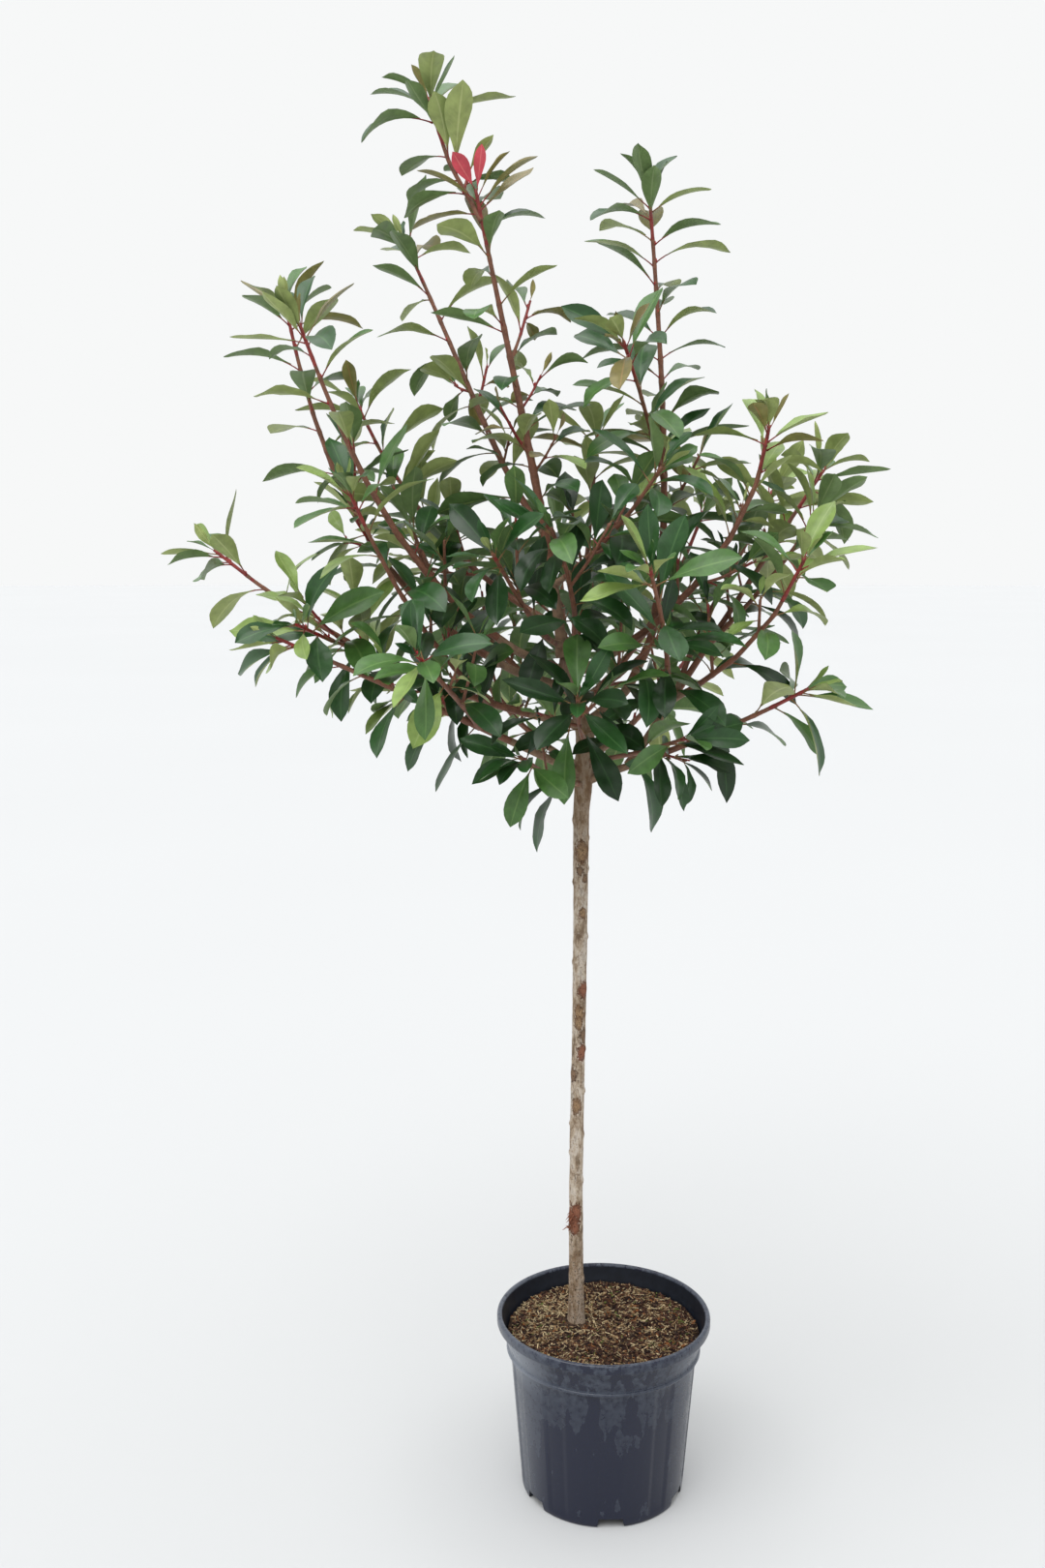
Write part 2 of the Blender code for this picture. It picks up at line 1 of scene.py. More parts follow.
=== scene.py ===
# %% [markdown]
# # A potted red tip photinia
# This lesson dresses a young half-standard photinia in its nursery pot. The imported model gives
# the true places of the pot, trunk, boughs and masses of foliage. Each is replaced, or finished,
# by a detailed piece at the same place, and every piece rides on the one body, "root".

# %% Load the frame
import math
import random
from collections import namedtuple

import bmesh
import bpy
import numpy as np
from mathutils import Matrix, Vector, noise
from mathutils.bvhtree import BVHTree


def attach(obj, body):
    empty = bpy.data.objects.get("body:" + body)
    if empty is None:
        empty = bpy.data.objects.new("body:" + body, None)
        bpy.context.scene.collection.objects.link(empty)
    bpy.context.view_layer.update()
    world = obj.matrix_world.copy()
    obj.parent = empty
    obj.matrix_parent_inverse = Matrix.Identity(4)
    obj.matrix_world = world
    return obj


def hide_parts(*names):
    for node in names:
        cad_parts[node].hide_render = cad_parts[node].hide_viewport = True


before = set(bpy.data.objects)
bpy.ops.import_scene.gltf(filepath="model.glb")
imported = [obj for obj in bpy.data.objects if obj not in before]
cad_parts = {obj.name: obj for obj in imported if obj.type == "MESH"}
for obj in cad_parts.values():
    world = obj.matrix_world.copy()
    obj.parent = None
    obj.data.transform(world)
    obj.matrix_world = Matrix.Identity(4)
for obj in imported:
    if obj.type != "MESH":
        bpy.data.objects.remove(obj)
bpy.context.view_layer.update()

MM = 0.001

# %% [markdown]
# ## Small helpers
# Colours are chosen on screen as sRGB hex values, but shaders work in linear light, so one
# function turns them. One function adds a shader node with its settings and links, and one starts
# a material. One makes an object from points and faces, which is how many small things are joined
# from arrays.

# %% Colours and shader nodes
def paint(code):
    """A colour given as an sRGB hex code, in linear light."""
    parts = [int(code[place:place + 2], 16) / 255 for place in (1, 3, 5)]
    linear = [part / 12.92 if part < 0.04045 else ((part + 0.055) / 1.055) ** 2.4 for part in parts]
    return (*linear, 1.0)


def add_node(tree, kind, inputs=(), stops=(), out=None, **settings):
    """Adds a shader node and returns its output: the one named, or else the first in use.

    Its inputs are numbers, hex colours or other nodes' outputs, by name or in order.
    """
    added = tree.nodes.new("ShaderNode" + kind)
    for name, value in settings.items():
        setattr(added, name, value)
    in_use = [socket for socket in added.inputs if socket.enabled]
    for name, value in inputs.items() if isinstance(inputs, dict) else enumerate(inputs):
        socket = added.inputs[name] if isinstance(name, str) else in_use[name]
        if isinstance(value, bpy.types.NodeSocket):
            tree.links.new(value, socket)
        else:
            socket.default_value = paint(value) if isinstance(value, str) else value
    for number, (place, colour) in enumerate(stops):
        elements = added.color_ramp.elements
        stop = elements[number] if number < 2 else elements.new(place)
        stop.position = place
        stop.color = paint(colour) if isinstance(colour, str) else colour
    return added.outputs[out] if out else next(s for s in added.outputs if s.enabled)


def start_material(name, **numbers):
    """A new material, its node tree, its shader with plain numbers set, and the place on it."""
    material = bpy.data.materials.new(name)
    material.use_nodes = True
    tree = material.node_tree
    shader = tree.nodes["Principled BSDF"]
    for socket, value in numbers.items():
        shader.inputs[socket.replace("_", " ")].default_value = value
    return material, tree, shader, add_node(tree, "TexCoord", out="Object")


# %% Objects
def deselect():
    bpy.ops.object.select_all(action="DESELECT")


def new_piece(name, points, faces, materials, material_of=None, uvs=None):
    """An object made from arrays of points and faces, with a material number for each face."""
    mesh = bpy.data.meshes.new(name)
    mesh.from_pydata([tuple(point) for point in points], [], [list(map(int, f)) for f in faces])
    for material in materials:
        mesh.materials.append(material)
    if material_of is not None:
        mesh.polygons.foreach_set("material_index", np.asarray(material_of, np.int32))
    if uvs is not None:
        corners = np.empty(len(mesh.loops), np.int32)
        mesh.loops.foreach_get("vertex_index", corners)
        layer = mesh.uv_layers.new(name="leaf")
        layer.data.foreach_set("uv", np.asarray(uvs, np.float32)[corners].ravel())
    mesh.shade_smooth()
    mesh.update()
    piece = bpy.data.objects.new(name, mesh)
    bpy.context.scene.collection.objects.link(piece)
    return piece


def triangles_of(piece):
    return sum(len(face.vertices) - 2 for face in piece.data.polygons)


# %% [markdown]
# ## Camera
# The photograph was taken with a wide-angle view from 1.2 m up, a little to the left of the pot
# and 1.8 m away, looking slightly down. A 35 mm lens on a 36 mm sensor gives its perspective.

# %% Camera
CAMERA_PLACE = (-0.102, -1.802, 1.171)
LOOKING_DOWN = 8.55
camera_data = bpy.data.cameras.new("camera")
camera_data.lens = 35
camera_data.sensor_width = 36
camera = bpy.data.objects.new("camera", camera_data)
camera.location = CAMERA_PLACE
camera.rotation_euler = (math.radians(90 - LOOKING_DOWN), 0, 0)
bpy.context.scene.collection.objects.link(camera)
bpy.context.scene.camera = camera
print("camera at", tuple(camera.location))

# %% [markdown]
# ## The growth rule
# Every limb grows by one rule, the same as the solids follow. A shoot leaves its parent at a
# distance along it, goes from one bearing and lean to another, and tapers. Its lower part is a
# bare bough and the rest is the stem of a mass of foliage. Twigs branch from it by a seeded rule
# and leaves stand round it in a spiral, except where one would touch a limb or another leaf.
# Repeating the rule with the same seeds puts each leaf where the solid one is.

# %% Named sizes of the plant
GAP = 0.0003
SOIL_TOP = 0.2045
TRUNK_COURSE = (
    (0.000, -0.0336, 0.012, 0.0122),
    (0.014, -0.0338, 0.012, 0.0104),
    (0.060, -0.0342, 0.012, 0.0091),
    (0.195, -0.0350, 0.012, 0.0084),
    (0.370, -0.0328, 0.012, 0.0083),
    (0.530, -0.0312, 0.012, 0.0087),
    (0.660, -0.0312, 0.012, 0.0097),
    (0.705, -0.0278, 0.012, 0.0112),
    (0.755, -0.0268, 0.012, 0.0110),
    (0.808, -0.0415, 0.012, 0.0098),
    (0.846, -0.0530, 0.012, 0.0082),
)
Shoot = namedtuple("Shoot", "name on at compass lean turn length girth bare seed")
SHOOTS = [Shoot(*row) for row in (
    ("leader", "trunk", 0.8500, (-175, -154), (6, 13), 3.4, 0.535, 0.0068, 0.170, 920),
    ("leader_side", "leader", 0.500, (158, 158), (36, 10), 0.7, 0.155, 0.0026, None, 21),
    ("left_high", "leader", 0.148, (130, 147), (54, 29), 5.0, 0.430, 0.0044, 0.045, 5322),
    ("left_tall_back", "trunk", 0.808, (166, 158), (80, 13), 1.6, 0.624, 0.0056, 0.150, 523),
    ("left_tall", "trunk", 0.828, (-173, -171), (72, 20), 1.9, 0.524, 0.0056, 0.140, 3924),
    ("left_tall_side", "left_tall", 0.191, (128, 130), (38, 38), 1.0, 0.145, 0.0024, None, 25),
    ("left_low", "trunk", 0.764, (178, 174), (80, 51), 1.1, 0.495, 0.0052, 0.105, 6126),
    ("left_mid", "left_low", 0.114, (-141, -136), (55, 29), 1.5, 0.322, 0.0038, None, 1427),
    ("left_inner", "leader", 0.036, (149, 150), (68, 28), 1.1, 0.409, 0.0042, 0.060, 4728),
    ("left_low_side", "left_low", 0.279, (-118, -119), (81, 70), 1.3, 0.135, 0.0024, None, 29),
    ("left_lowest", "trunk", 0.704, (-156, -168), (64, 66), 1.0, 0.405, 0.0054, 0.140, 1530),
    ("front_left", "left_lowest", 0.148, (-109, -107), (60, 66), 1.8, 0.215, 0.0034, None, 9631),
    ("front_mid", "leader", 0.015, (-114, -119), (88, 50), 3.2, 0.210, 0.0038, 0.040, 8632),
    ("front_core", "trunk", 0.834, (-74, -126), (54, 38), 2.1, 0.226, 0.0040, 0.050, 1133),
    ("front_high", "trunk", 0.792, (-66, -52), (74, 50), 1.0, 0.190, 0.0034, 0.035, 1434),
    ("front_low", "trunk", 0.748, (-98, -92), (80, 60), 1.0, 0.190, 0.0034, 0.035, 8035),
    ("foot_left", "trunk", 0.693, (-120, -116), (80, 64), 1.0, 0.170, 0.0034, 0.035, 10736),
    ("foot_right", "trunk", 0.722, (-48, -58), (82, 70), 1.0, 0.180, 0.0034, 0.035, 8937),
    ("heart_right", "leader", 0.085, (-42, -30), (62, 34), 1.0, 0.200, 0.0034, 0.030, 238),
    ("right_tall", "trunk", 0.764, (3, 186), (70, 5), 6.0, 0.665, 0.0060, 0.140, 639),
    ("right_tall_side", "right_tall", 0.330, (-115, -114), (38, 50), 1.0, 0.205, 0.0028, None, 40),
    ("back_core", "trunk", 0.822, (79, 73), (54, 16), 2.1, 0.349, 0.0044, 0.060, 4541),
    ("right_big", "trunk", 0.826, (-17, -20), (66, 0), 0.7, 0.386, 0.0054, 0.120, 10842),
    ("right_low", "trunk", 0.697, (-18, -27), (70, 59), 0.6, 0.295, 0.0050, 0.130, 5443),
    ("right_far", "right_low", 0.060, (13, 14), (34, 35), 0.9, 0.422, 0.0050, 0.165, 8844),
    ("right_behind", "right_far", 0.108, (42, 56), (17, 45), 4.7, 0.314, 0.0036, 0.030, 10145),
    ("right_far_side", "right_far", 0.172, (-4, -5), (46, 29), 0.7, 0.200, 0.0030, None, 11946),
    ("right_out", "right_far", 0.096, (-46, -47), (68, 20), 0.7, 0.255, 0.0038, 0.030, 247),
    ("front_right", "right_far", 0.073, (-87, -112), (66, 45), 1.6, 0.287, 0.0040, 0.035, 2148),
    ("back_left", "trunk", 0.783, (140, 126), (74, 36), 1.4, 0.360, 0.0048, 0.085, 1949),
    ("back_middle", "trunk", 0.742, (98, 92), (70, 30), 1.4, 0.380, 0.0048, 0.085, 3750),
    ("back_right", "trunk", 0.790, (50, 48), (70, 32), 1.4, 0.360, 0.0048, 0.085, 2551),
    ("back_low_left", "trunk", 0.712, (124, 118), (80, 56), 1.2, 0.330, 0.0046, 0.085, 1552),
    ("back_low_right", "trunk", 0.722, (58, 54), (80, 54), 1.2, 0.320, 0.0046, 0.085, 8853),
)]
AXIS_STEPS = 24
SEGMENT = 0.065
JOINT_LEAD = 0.004
TIP_RADIUS = 0.0019
LEAF_LENGTH = 0.092
LEAF_WIDTH = 0.036
LEAF_GAP = 0.0275
TIP_GAP = 0.0080
YOUNG_REACH = 0.060
YOUNG_SIZE = 0.74
OLD_REACH = 0.300
SHADE_TOP = 1.05
SHADE_DEPTH = 0.12
HANG = 0.55
PETIOLE = 0.15
SHOULDERS = ((0.42, 0.88), (0.76, 0.80))
FOLD = 0.28
LEAF_THICKNESS = 0.0012
ROOT_DEPTH = 0.001
TURN_BETWEEN_LEAVES = 137.5
CLEARANCE = 0.0010
TRIES = 6
TWIG_CHANCE = 0.20
TWIG_LENGTHS = (0.035, 0.085)
TWIG_RADII = (0.0020, 0.0018, 0.0015)
TWIG_ROOM = 0.012
TWIG_SPREAD = 46.0
TWIG_ZONE = 0.40
Leaf = namedtuple("Leaf", "root along face length width bend young old")
Twig = namedtuple("Twig", "points radii")
print("shoots", len(SHOOTS))


# %% Axes of the limbs
def heading(compass, lean):
    """The unit vector at a compass bearing and a lean from upright, both in degrees."""
    bearing = math.radians(compass)
    tilt = math.radians(lean)
    level = math.sin(tilt)
    return Vector((level * math.cos(bearing), level * math.sin(bearing), math.cos(tilt)))


def between(first, last, share):
    return first + (last - first) * share


def point_at(axis, distance):
    """The point and direction at a distance along an axis, run on straight past its end."""
    for start, end in zip(axis, axis[1:]):
        step = (end - start).length
        if distance <= step or end is axis[-1]:
            along = (end - start).normalized()
            return start + along * distance, along
        distance -= step


def line_length(points):
    return sum((end - start).length for start, end in zip(points, points[1:]))


def axis_of(shoot, root, lead=None):
    """The shoot's centre line, grown in small steps from its root, or from a lead."""
    axis = [root, root + lead] if lead else [root]
    for step in range(AXIS_STEPS):
        share = (step + 0.5) / AXIS_STEPS
        compass = between(shoot.compass[0], shoot.compass[1], share)
        lean = between(shoot.lean[1], shoot.lean[0], (1 - share) ** shoot.turn)
        axis.append(axis[-1] + heading(compass, lean) * shoot.length / AXIS_STEPS)
    return axis


def radius_at(shoot, distance):
    return between(shoot.girth, TIP_RADIUS, min(distance / shoot.length, 1.0))


def stretch(shoot, axis, start, end):
    """The points and radii of the part of a limb between two distances, its ends square."""
    first, first_along = point_at(axis, start)
    last, last_along = point_at(axis, end)
    count = max(2, round((end - start) / SEGMENT))
    inner = [start + (end - start) * step / count for step in range(1, count)]
    points = [first, first + first_along * JOINT_LEAD]
    points += [point_at(axis, distance)[0] for distance in inner]
    points += [last - last_along * JOINT_LEAD, last]
    spots = [start, start + JOINT_LEAD] + inner + [end - JOINT_LEAD, end]
    return Twig(points, [radius_at(shoot, spot) for spot in spots])


# %% The solids' leaf, used to keep leaves apart
def leaf_points(leaf, spare=0.0, bare_root=False):
    """Eight points from root to tip: the root, two rings of left, under and right, and the tip."""
    side = leaf.face.cross(leaf.along)

    def place(share):
        angle = leaf.bend * share
        reach = math.sin(angle) / leaf.bend
        drop = (1 - math.cos(angle)) / leaf.bend
        centre = leaf.root + (leaf.along * reach - leaf.face * drop) * leaf.length
        return centre, leaf.face * math.cos(angle) + leaf.along * math.sin(angle)

    points = [place(PETIOLE)[0] if bare_root else leaf.root - leaf.along * ROOT_DEPTH]
    for share, breadth in SHOULDERS:
        centre, over = place(share)
        half = leaf.width / 2 * breadth + spare
        points.append(centre - side * half + over * half * FOLD)
        points.append(centre - over * (LEAF_THICKNESS + spare))
        points.append(centre + side * half + over * half * FOLD)
    points.append(place(1.0)[0])
    return points


def leaf_cage():
    """The faces of a globe of three segments and two rings, its points in leaf_points's order."""
    globe = bmesh.new()
    bmesh.ops.create_uvsphere(globe, u_segments=3, v_segments=3, radius=1.0)
    order = sorted(globe.verts, key=lambda v: (round(v.co.z, 3), math.atan2(v.co.y, v.co.x)))
    place = {vertex: number for number, vertex in enumerate(order)}
    faces = [[place[vertex] for vertex in face.verts] for face in globe.faces]
    globe.free()
    return faces


LEAF_FACES = leaf_cage()


class Space:
    """What has grown so far: a search tree, its middle and its reach for each solid."""

    def __init__(self):
        self.taken = []

    def add(self, points, faces, owner):
        middle = sum(points, Vector()) / len(points)
        reach = max((point - middle).length for point in points)
        self.taken.append((BVHTree.FromPolygons(points, faces), middle, reach, owner))

    def clear(self, points, faces, wanted):
        """Whether a shape meets none of the solids whose owner is wanted."""
        middle = sum(points, Vector()) / len(points)
        reach = max((point - middle).length for point in points)
        tree = BVHTree.FromPolygons(points, faces)
        for other, centre, size, owner in self.taken:
            near = (centre - middle).length < reach + size
            if near and wanted(owner) and tree.overlap(other):
                return False
        return True


# %% The rule for leaves and twigs
def outward(along, turn):
    """The unit vector square to a stem at a turn round it, lifted a little towards the light."""
    rest = Vector((0, 0, 1)) if abs(along.z) < 0.9 else Vector((1, 0, 0))
    first = along.cross(rest).normalized()
    second = along.cross(first)
    radial = first * math.cos(turn) + second * math.sin(turn)
    lifted = radial + Vector((0, 0, 0.35)) * (1 - abs(along.z))
    return (lifted - along * lifted.dot(along)).normalized()


def leaf_on(point, along, turn, young, old, chance):
    """One leaf at a node of a stem: upright and small near the tip, spread and arched below."""
    spread = math.radians(42 - 20 * young + 10 * old + chance.uniform(-9, 9))
    turned = outward(along, turn)
    hang = min(1.0, max(0.0, (SHADE_TOP - point.z) / SHADE_DEPTH))
    direction = along * math.cos(spread) + turned * math.sin(spread)
    direction = (direction - Vector((0, 0, HANG)) * hang).normalized()
    above = along * 0.6 + Vector((0, 0, 0.8))
    face = (above - direction * above.dot(direction)).normalized()
    roll = math.radians(chance.uniform(-18, 18))
    face = (face * math.cos(roll) + direction.cross(face) * math.sin(roll)).normalized()
    size = between(1.0, YOUNG_SIZE, young) * chance.uniform(0.86, 1.12)
    bend = math.radians(between(66, 36, young) * chance.uniform(0.6, 1.4))
    length = LEAF_LENGTH * size
    width = LEAF_WIDTH * size * chance.uniform(0.9, 1.08)
    return Leaf(point, direction, face, length, width, bend, young, old)


def fits(leaf, space, owner):
    """Whether a leaf touches nothing else's, and its blade nothing of its owner's either."""
    whole = leaf_points(leaf, CLEARANCE)
    blade = leaf_points(leaf, CLEARANCE, bare_root=True)
    others_clear = space.clear(whole, LEAF_FACES, lambda name: name != owner)
    return others_clear and space.clear(blade, LEAF_FACES, lambda name: name == owner)


def grow_leaves(axis, start, end, owner, space, chance, share=1.0):
    """Leaves in a spiral up a stem, each tried a few times and skipped where nothing is clear."""
    leaves = []
    turn = chance.uniform(0, 360)
    distance = start
    while distance < end:
        young = max(0.0, 1 - (end - distance) / YOUNG_REACH)
        old = min(1.0, (end - distance) / OLD_REACH)
        point, along = point_at(axis, distance)
        skipped = share < 1 and chance.random() > share
        for trial in range(0 if skipped else TRIES):
            nudge = chance.uniform(-1, 1) * (8 + 9 * trial)
            leaf = leaf_on(point, along, math.radians(turn + nudge), young, old, chance)
            if fits(leaf, space, owner):
                leaves.append(leaf)
                space.add(leaf_points(leaf), LEAF_FACES, owner)
                break
        turn += TURN_BETWEEN_LEAVES
        distance += between(LEAF_GAP, TIP_GAP, young) * chance.uniform(0.85, 1.15)
    return leaves


def side_shoot(axis, distance, turn, spread, lift):
    """The root, outward side and lifted direction of a shoot that leaves a stem."""
    point, along = point_at(axis, distance)
    turned = outward(along, math.radians(turn))
    direction = along * math.cos(spread) + turned * math.sin(spread)
    return point, turned, (direction + Vector((0, 0, lift))).normalized()


def grow_twigs(axis, start, end, owner, space, chance):
    """Short spurs in the axils along the lower part of a stem."""
    twigs = []
    distance = start
    turn = chance.uniform(0, 360)
    while distance < between(start, end, TWIG_ZONE):
        distance += LEAF_GAP
        turn += TURN_BETWEEN_LEAVES
        if chance.random() > TWIG_CHANCE:
            continue
        spread = math.radians(TWIG_SPREAD + chance.uniform(-8, 8))
        point, _, direction = side_shoot(axis, distance, turn, spread, 0.25)
        length = chance.uniform(*TWIG_LENGTHS)
        tip = point + direction * length + Vector((0, 0, 0.10)) * length
        middle = point + direction * length / 2
        face = outward(direction, 0.0)
        probe = Leaf(point, direction, face, length, TWIG_ROOM, math.radians(1), 0, 0)
        if space.clear(leaf_points(probe, CLEARANCE), LEAF_FACES, lambda name: name != owner):
            twigs.append(Twig([point, middle, tip], list(TWIG_RADII)))
    return twigs


# %% Tubes for limbs
def tube_mesh(name, points, radii, sides):
    """A tapering limb as a closed mesh: a curve with a round or three-sided bevel, caps welded."""
    curve = bpy.data.curves.new(name, "CURVE")
    curve.dimensions = "3D"
    curve.use_fill_caps = True
    profile = None
    if sides == 3:
        outline = bpy.data.curves.new(name + "_profile", "CURVE")
        corners = outline.splines.new("POLY")
        corners.points.add(2)
        corners.use_cyclic_u = True
        for number, corner in enumerate(corners.points):
            angle = math.radians(120 * number)
            corner.co = (math.cos(angle), math.sin(angle), 0, 1)
        profile = bpy.data.objects.new(name + "_profile", outline)
        bpy.context.scene.collection.objects.link(profile)
        curve.bevel_mode = "OBJECT"
        curve.bevel_object = profile
    else:
        curve.bevel_depth = 1.0
        curve.bevel_resolution = sides // 2 - 2
    line = curve.splines.new("POLY")
    line.points.add(len(points) - 1)
    for spot, point, radius in zip(line.points, points, radii):
        spot.co = (*point, 1)
        spot.radius = radius
    limb = bpy.data.objects.new(name, curve)
    bpy.context.scene.collection.objects.link(limb)
    graph = bpy.context.evaluated_depsgraph_get()
    mesh = bpy.data.meshes.new_from_object(limb.evaluated_get(graph))
    bpy.data.objects.remove(limb)
    if profile:
        bpy.data.objects.remove(profile)
    shell = bmesh.new()
    shell.from_mesh(mesh)
    bmesh.ops.remove_doubles(shell, verts=shell.verts, dist=1e-6)
    bmesh.ops.recalc_face_normals(shell, faces=shell.faces)
    shell.to_mesh(mesh)
    shell.free()
    return mesh


def shape_of(mesh):
    """A mesh's points and faces, after which the mesh itself is no longer needed."""
    points = [vertex.co.copy() for vertex in mesh.vertices]
    faces = [list(face.vertices) for face in mesh.polygons]
    bpy.data.meshes.remove(mesh)
    return points, faces


# %% Grow the plant
space = Space()
trunk_foot = Vector((0, 0, SOIL_TOP + GAP))
course = [trunk_foot + Vector((x, y, rise)) for rise, x, y, _ in TRUNK_COURSE]
girths = [radius for *_, radius in TRUNK_COURSE]
space.add(*shape_of(tube_mesh("limb", course, girths, 10)), "trunk")
axes = {"trunk": course}
for shoot in SHOOTS:
    root, along = point_at(axes[shoot.on], shoot.at)
    if shoot.name == "leader":
        axes[shoot.name] = axis_of(shoot, root + along * GAP, along * JOINT_LEAD * 1.5)
    else:
        axes[shoot.name] = axis_of(shoot, root)
    if shoot.bare:
        limb = stretch(shoot, axes[shoot.name], 0.0, shoot.bare)
        space.add(*shape_of(tube_mesh("limb", *limb, 6)), "bough_" + shoot.name)

masses = {}
for shoot in SHOOTS:
    mass = shoot.name if shoot.bare else shoot.on
    start = shoot.bare + GAP if shoot.bare else 0.0
    stem = stretch(shoot, axes[shoot.name], start, shoot.length)
    space.add(*shape_of(tube_mesh("limb", *stem, 3)), mass)
    masses.setdefault(mass, []).append((shoot, stem))

grown = []
for mass, members in masses.items():
    chance = random.Random(members[0][0].seed)
    for shoot, stem in members:
        reach = line_length(stem.points)
        twigs = grow_twigs(stem.points, 0.01, reach, mass, space, chance)
        for twig in twigs:
            space.add(*shape_of(tube_mesh("limb", *twig, 3)), mass)
        for twig in twigs:
            length = (twig.points[-1] - twig.points[0]).length
            leaves = grow_leaves(twig.points, 0.016, length, mass, space, chance)
            grown.append((mass, shoot, twig, leaves, True))
        leaves = grow_leaves(stem.points, 0.012, reach, mass, space, chance)
        grown.append((mass, shoot, stem, leaves, False))
print("leaves as in the solids", sum(len(leaves) for *_, leaves, _ in grown))

# %% [markdown]
# ## Finer growth
# The solids hold the main leaves. A real crown carries on: more leaves stand between those, short
# spurs break from the wood in the shade, and every tip ends in a tuft of small upright leaves
# round its bud. The same rule adds them inside the same reach, each only where it touches nothing
# that has grown already, and the open places between the shoots are left open.

# %% Leaves between the leaves
FILL_END = 0.050
FILL_SHARE = 0.36
FILL_SHARES = {"right_tall": 1.0, "left_tall": 0.15, "left_tall_back": 0.15, "left_low": 0.0,
               "left_mid": 0.1, "right_low": 0.0, "right_out": 0.15}
SPUR_CHANCE = 0.18
SPUR_LENGTHS = (0.020, 0.052)
SPUR_RADII = (0.0016, 0.0014, 0.0011)
SPUR_GAP = 0.024
SPUR_LEAF = 0.80
SPUR_SPREAD = 52
SPUR_LEAVES_AT = (0.45, 0.72, 0.95)
TRUNK_RADIUS = 0.0085
TRUNK_SPURS = (0.690, 0.840)
CROWN_FOOT = 0.868
BARE_HALF = 0.034


def smaller(leaf, size):
    return leaf._replace(length=leaf.length * size, width=leaf.width * size)


def grow_spurs(axis, start, end, owner, space, chance, from_middle=0.0):
    """Short leafy spurs along a stretch of wood, from its middle or a distance out of it."""
    spurs = []
    distance = start + SPUR_GAP * chance.random()
    turn = chance.uniform(0, 360)
    while distance < end:
        distance += SPUR_GAP * chance.uniform(0.7, 1.3)
        turn += TURN_BETWEEN_LEAVES
        if chance.random() > SPUR_CHANCE:
            continue
        spread = math.radians(SPUR_SPREAD + chance.uniform(-10, 10))
        point, turned, direction = side_shoot(axis, distance, turn, spread, 0.20)
        point = point + turned * from_middle
        length = chance.uniform(*SPUR_LENGTHS)
        probe = Leaf(point, direction, outward(direction, 0.0), length, 0.006, 0.02, 0, 0)
        if not fits(probe, space, owner):
            continue
        points = [point, point + direction * length / 2, point + direction * length]
        points[2] += Vector((0, 0, 0.12)) * length
        spur = Twig(points, list(SPUR_RADII))
        leaves = []
        leaf_turn = chance.uniform(0, 360)
        for share in SPUR_LEAVES_AT:
            leaf_turn += TURN_BETWEEN_LEAVES
            for trial in range(TRIES):
                nudge = chance.uniform(-1, 1) * (10 + 10 * trial)
                root, way = point_at(points, length * share)
                leaf = leaf_on(root, way, math.radians(leaf_turn + nudge), share * 0.5, 0.2, chance)
                leaf = smaller(leaf, SPUR_LEAF * chance.uniform(0.8, 1.1))
                if fits(leaf, space, owner):
                    leaves.append(leaf)
                    space.add(leaf_points(leaf), LEAF_FACES, owner)
                    break
        if leaves:
            spurs.append((spur, leaves))
    return spurs


def out_of_place(leaf, shoot):
    """Whether a leaf hangs before the bare trunk, or stands before the leader's crimson tip."""
    tip = leaf_points(leaf)[-1]
    if shoot.name == "leader" and leaf.young > 0.35 and leaf.along.y < 0.1:
        return True
    return tip.z < CROWN_FOOT and abs(tip.x - course[-4].x) < BARE_HALF


finer = []
for mass, shoot, stem, leaves, is_twig in grown:
    leaves = [leaf for leaf in leaves if not out_of_place(leaf, shoot)]
    chance = random.Random(shoot.seed + 500 + len(leaves))
    reach = line_length(stem.points)
    more = []
    if not is_twig:
        start = 0.012 + LEAF_GAP / 2
        share = FILL_SHARES.get(shoot.name, FILL_SHARE)
        end = reach if share == 1.0 else reach - FILL_END
        more = grow_leaves(stem.points, start, end, mass, space, chance, share)
        for spur, spur_leaves in grow_spurs(stem.points, 0.01, reach * 0.45, mass, space, chance):
            finer.append((mass, shoot, spur, spur_leaves, True))
    finer.append((mass, shoot, stem, leaves + more, is_twig))
for shoot in SHOOTS:
    if shoot.bare and shoot.bare > 0.05:
        chance = random.Random(shoot.seed + 900)
        owner = "bough_" + shoot.name
        spurs = grow_spurs(axes[shoot.name], 0.035, shoot.bare, owner, space, chance)
        finer += [(shoot.name, shoot, spur, leaves, True) for spur, leaves in spurs]
trunk_chance = random.Random(77)
spurs = grow_spurs(course, *TRUNK_SPURS, "trunk", space, trunk_chance, TRUNK_RADIUS)
for spur, leaves in spurs:
    leaves = [leaf for leaf in leaves if not out_of_place(leaf, SHOOTS[1])]
    finer.append(("trunk", SHOOTS[1], spur, leaves, True))
print("leaves with the finer growth", sum(len(leaves) for *_, leaves, _ in finer))

# %% [markdown]
# ## The leaf pattern
# A photinia leaf is a leathery blade, widest past its middle, with a short point, folded a little
# along its midrib. One leaf is modelled: a grid is extruded into a slab, its margin is pinched
# together and merged, which leaves a closed blade of a few dozen faces. It stays in its own
# coordinates: how far across, how far along, and which side.

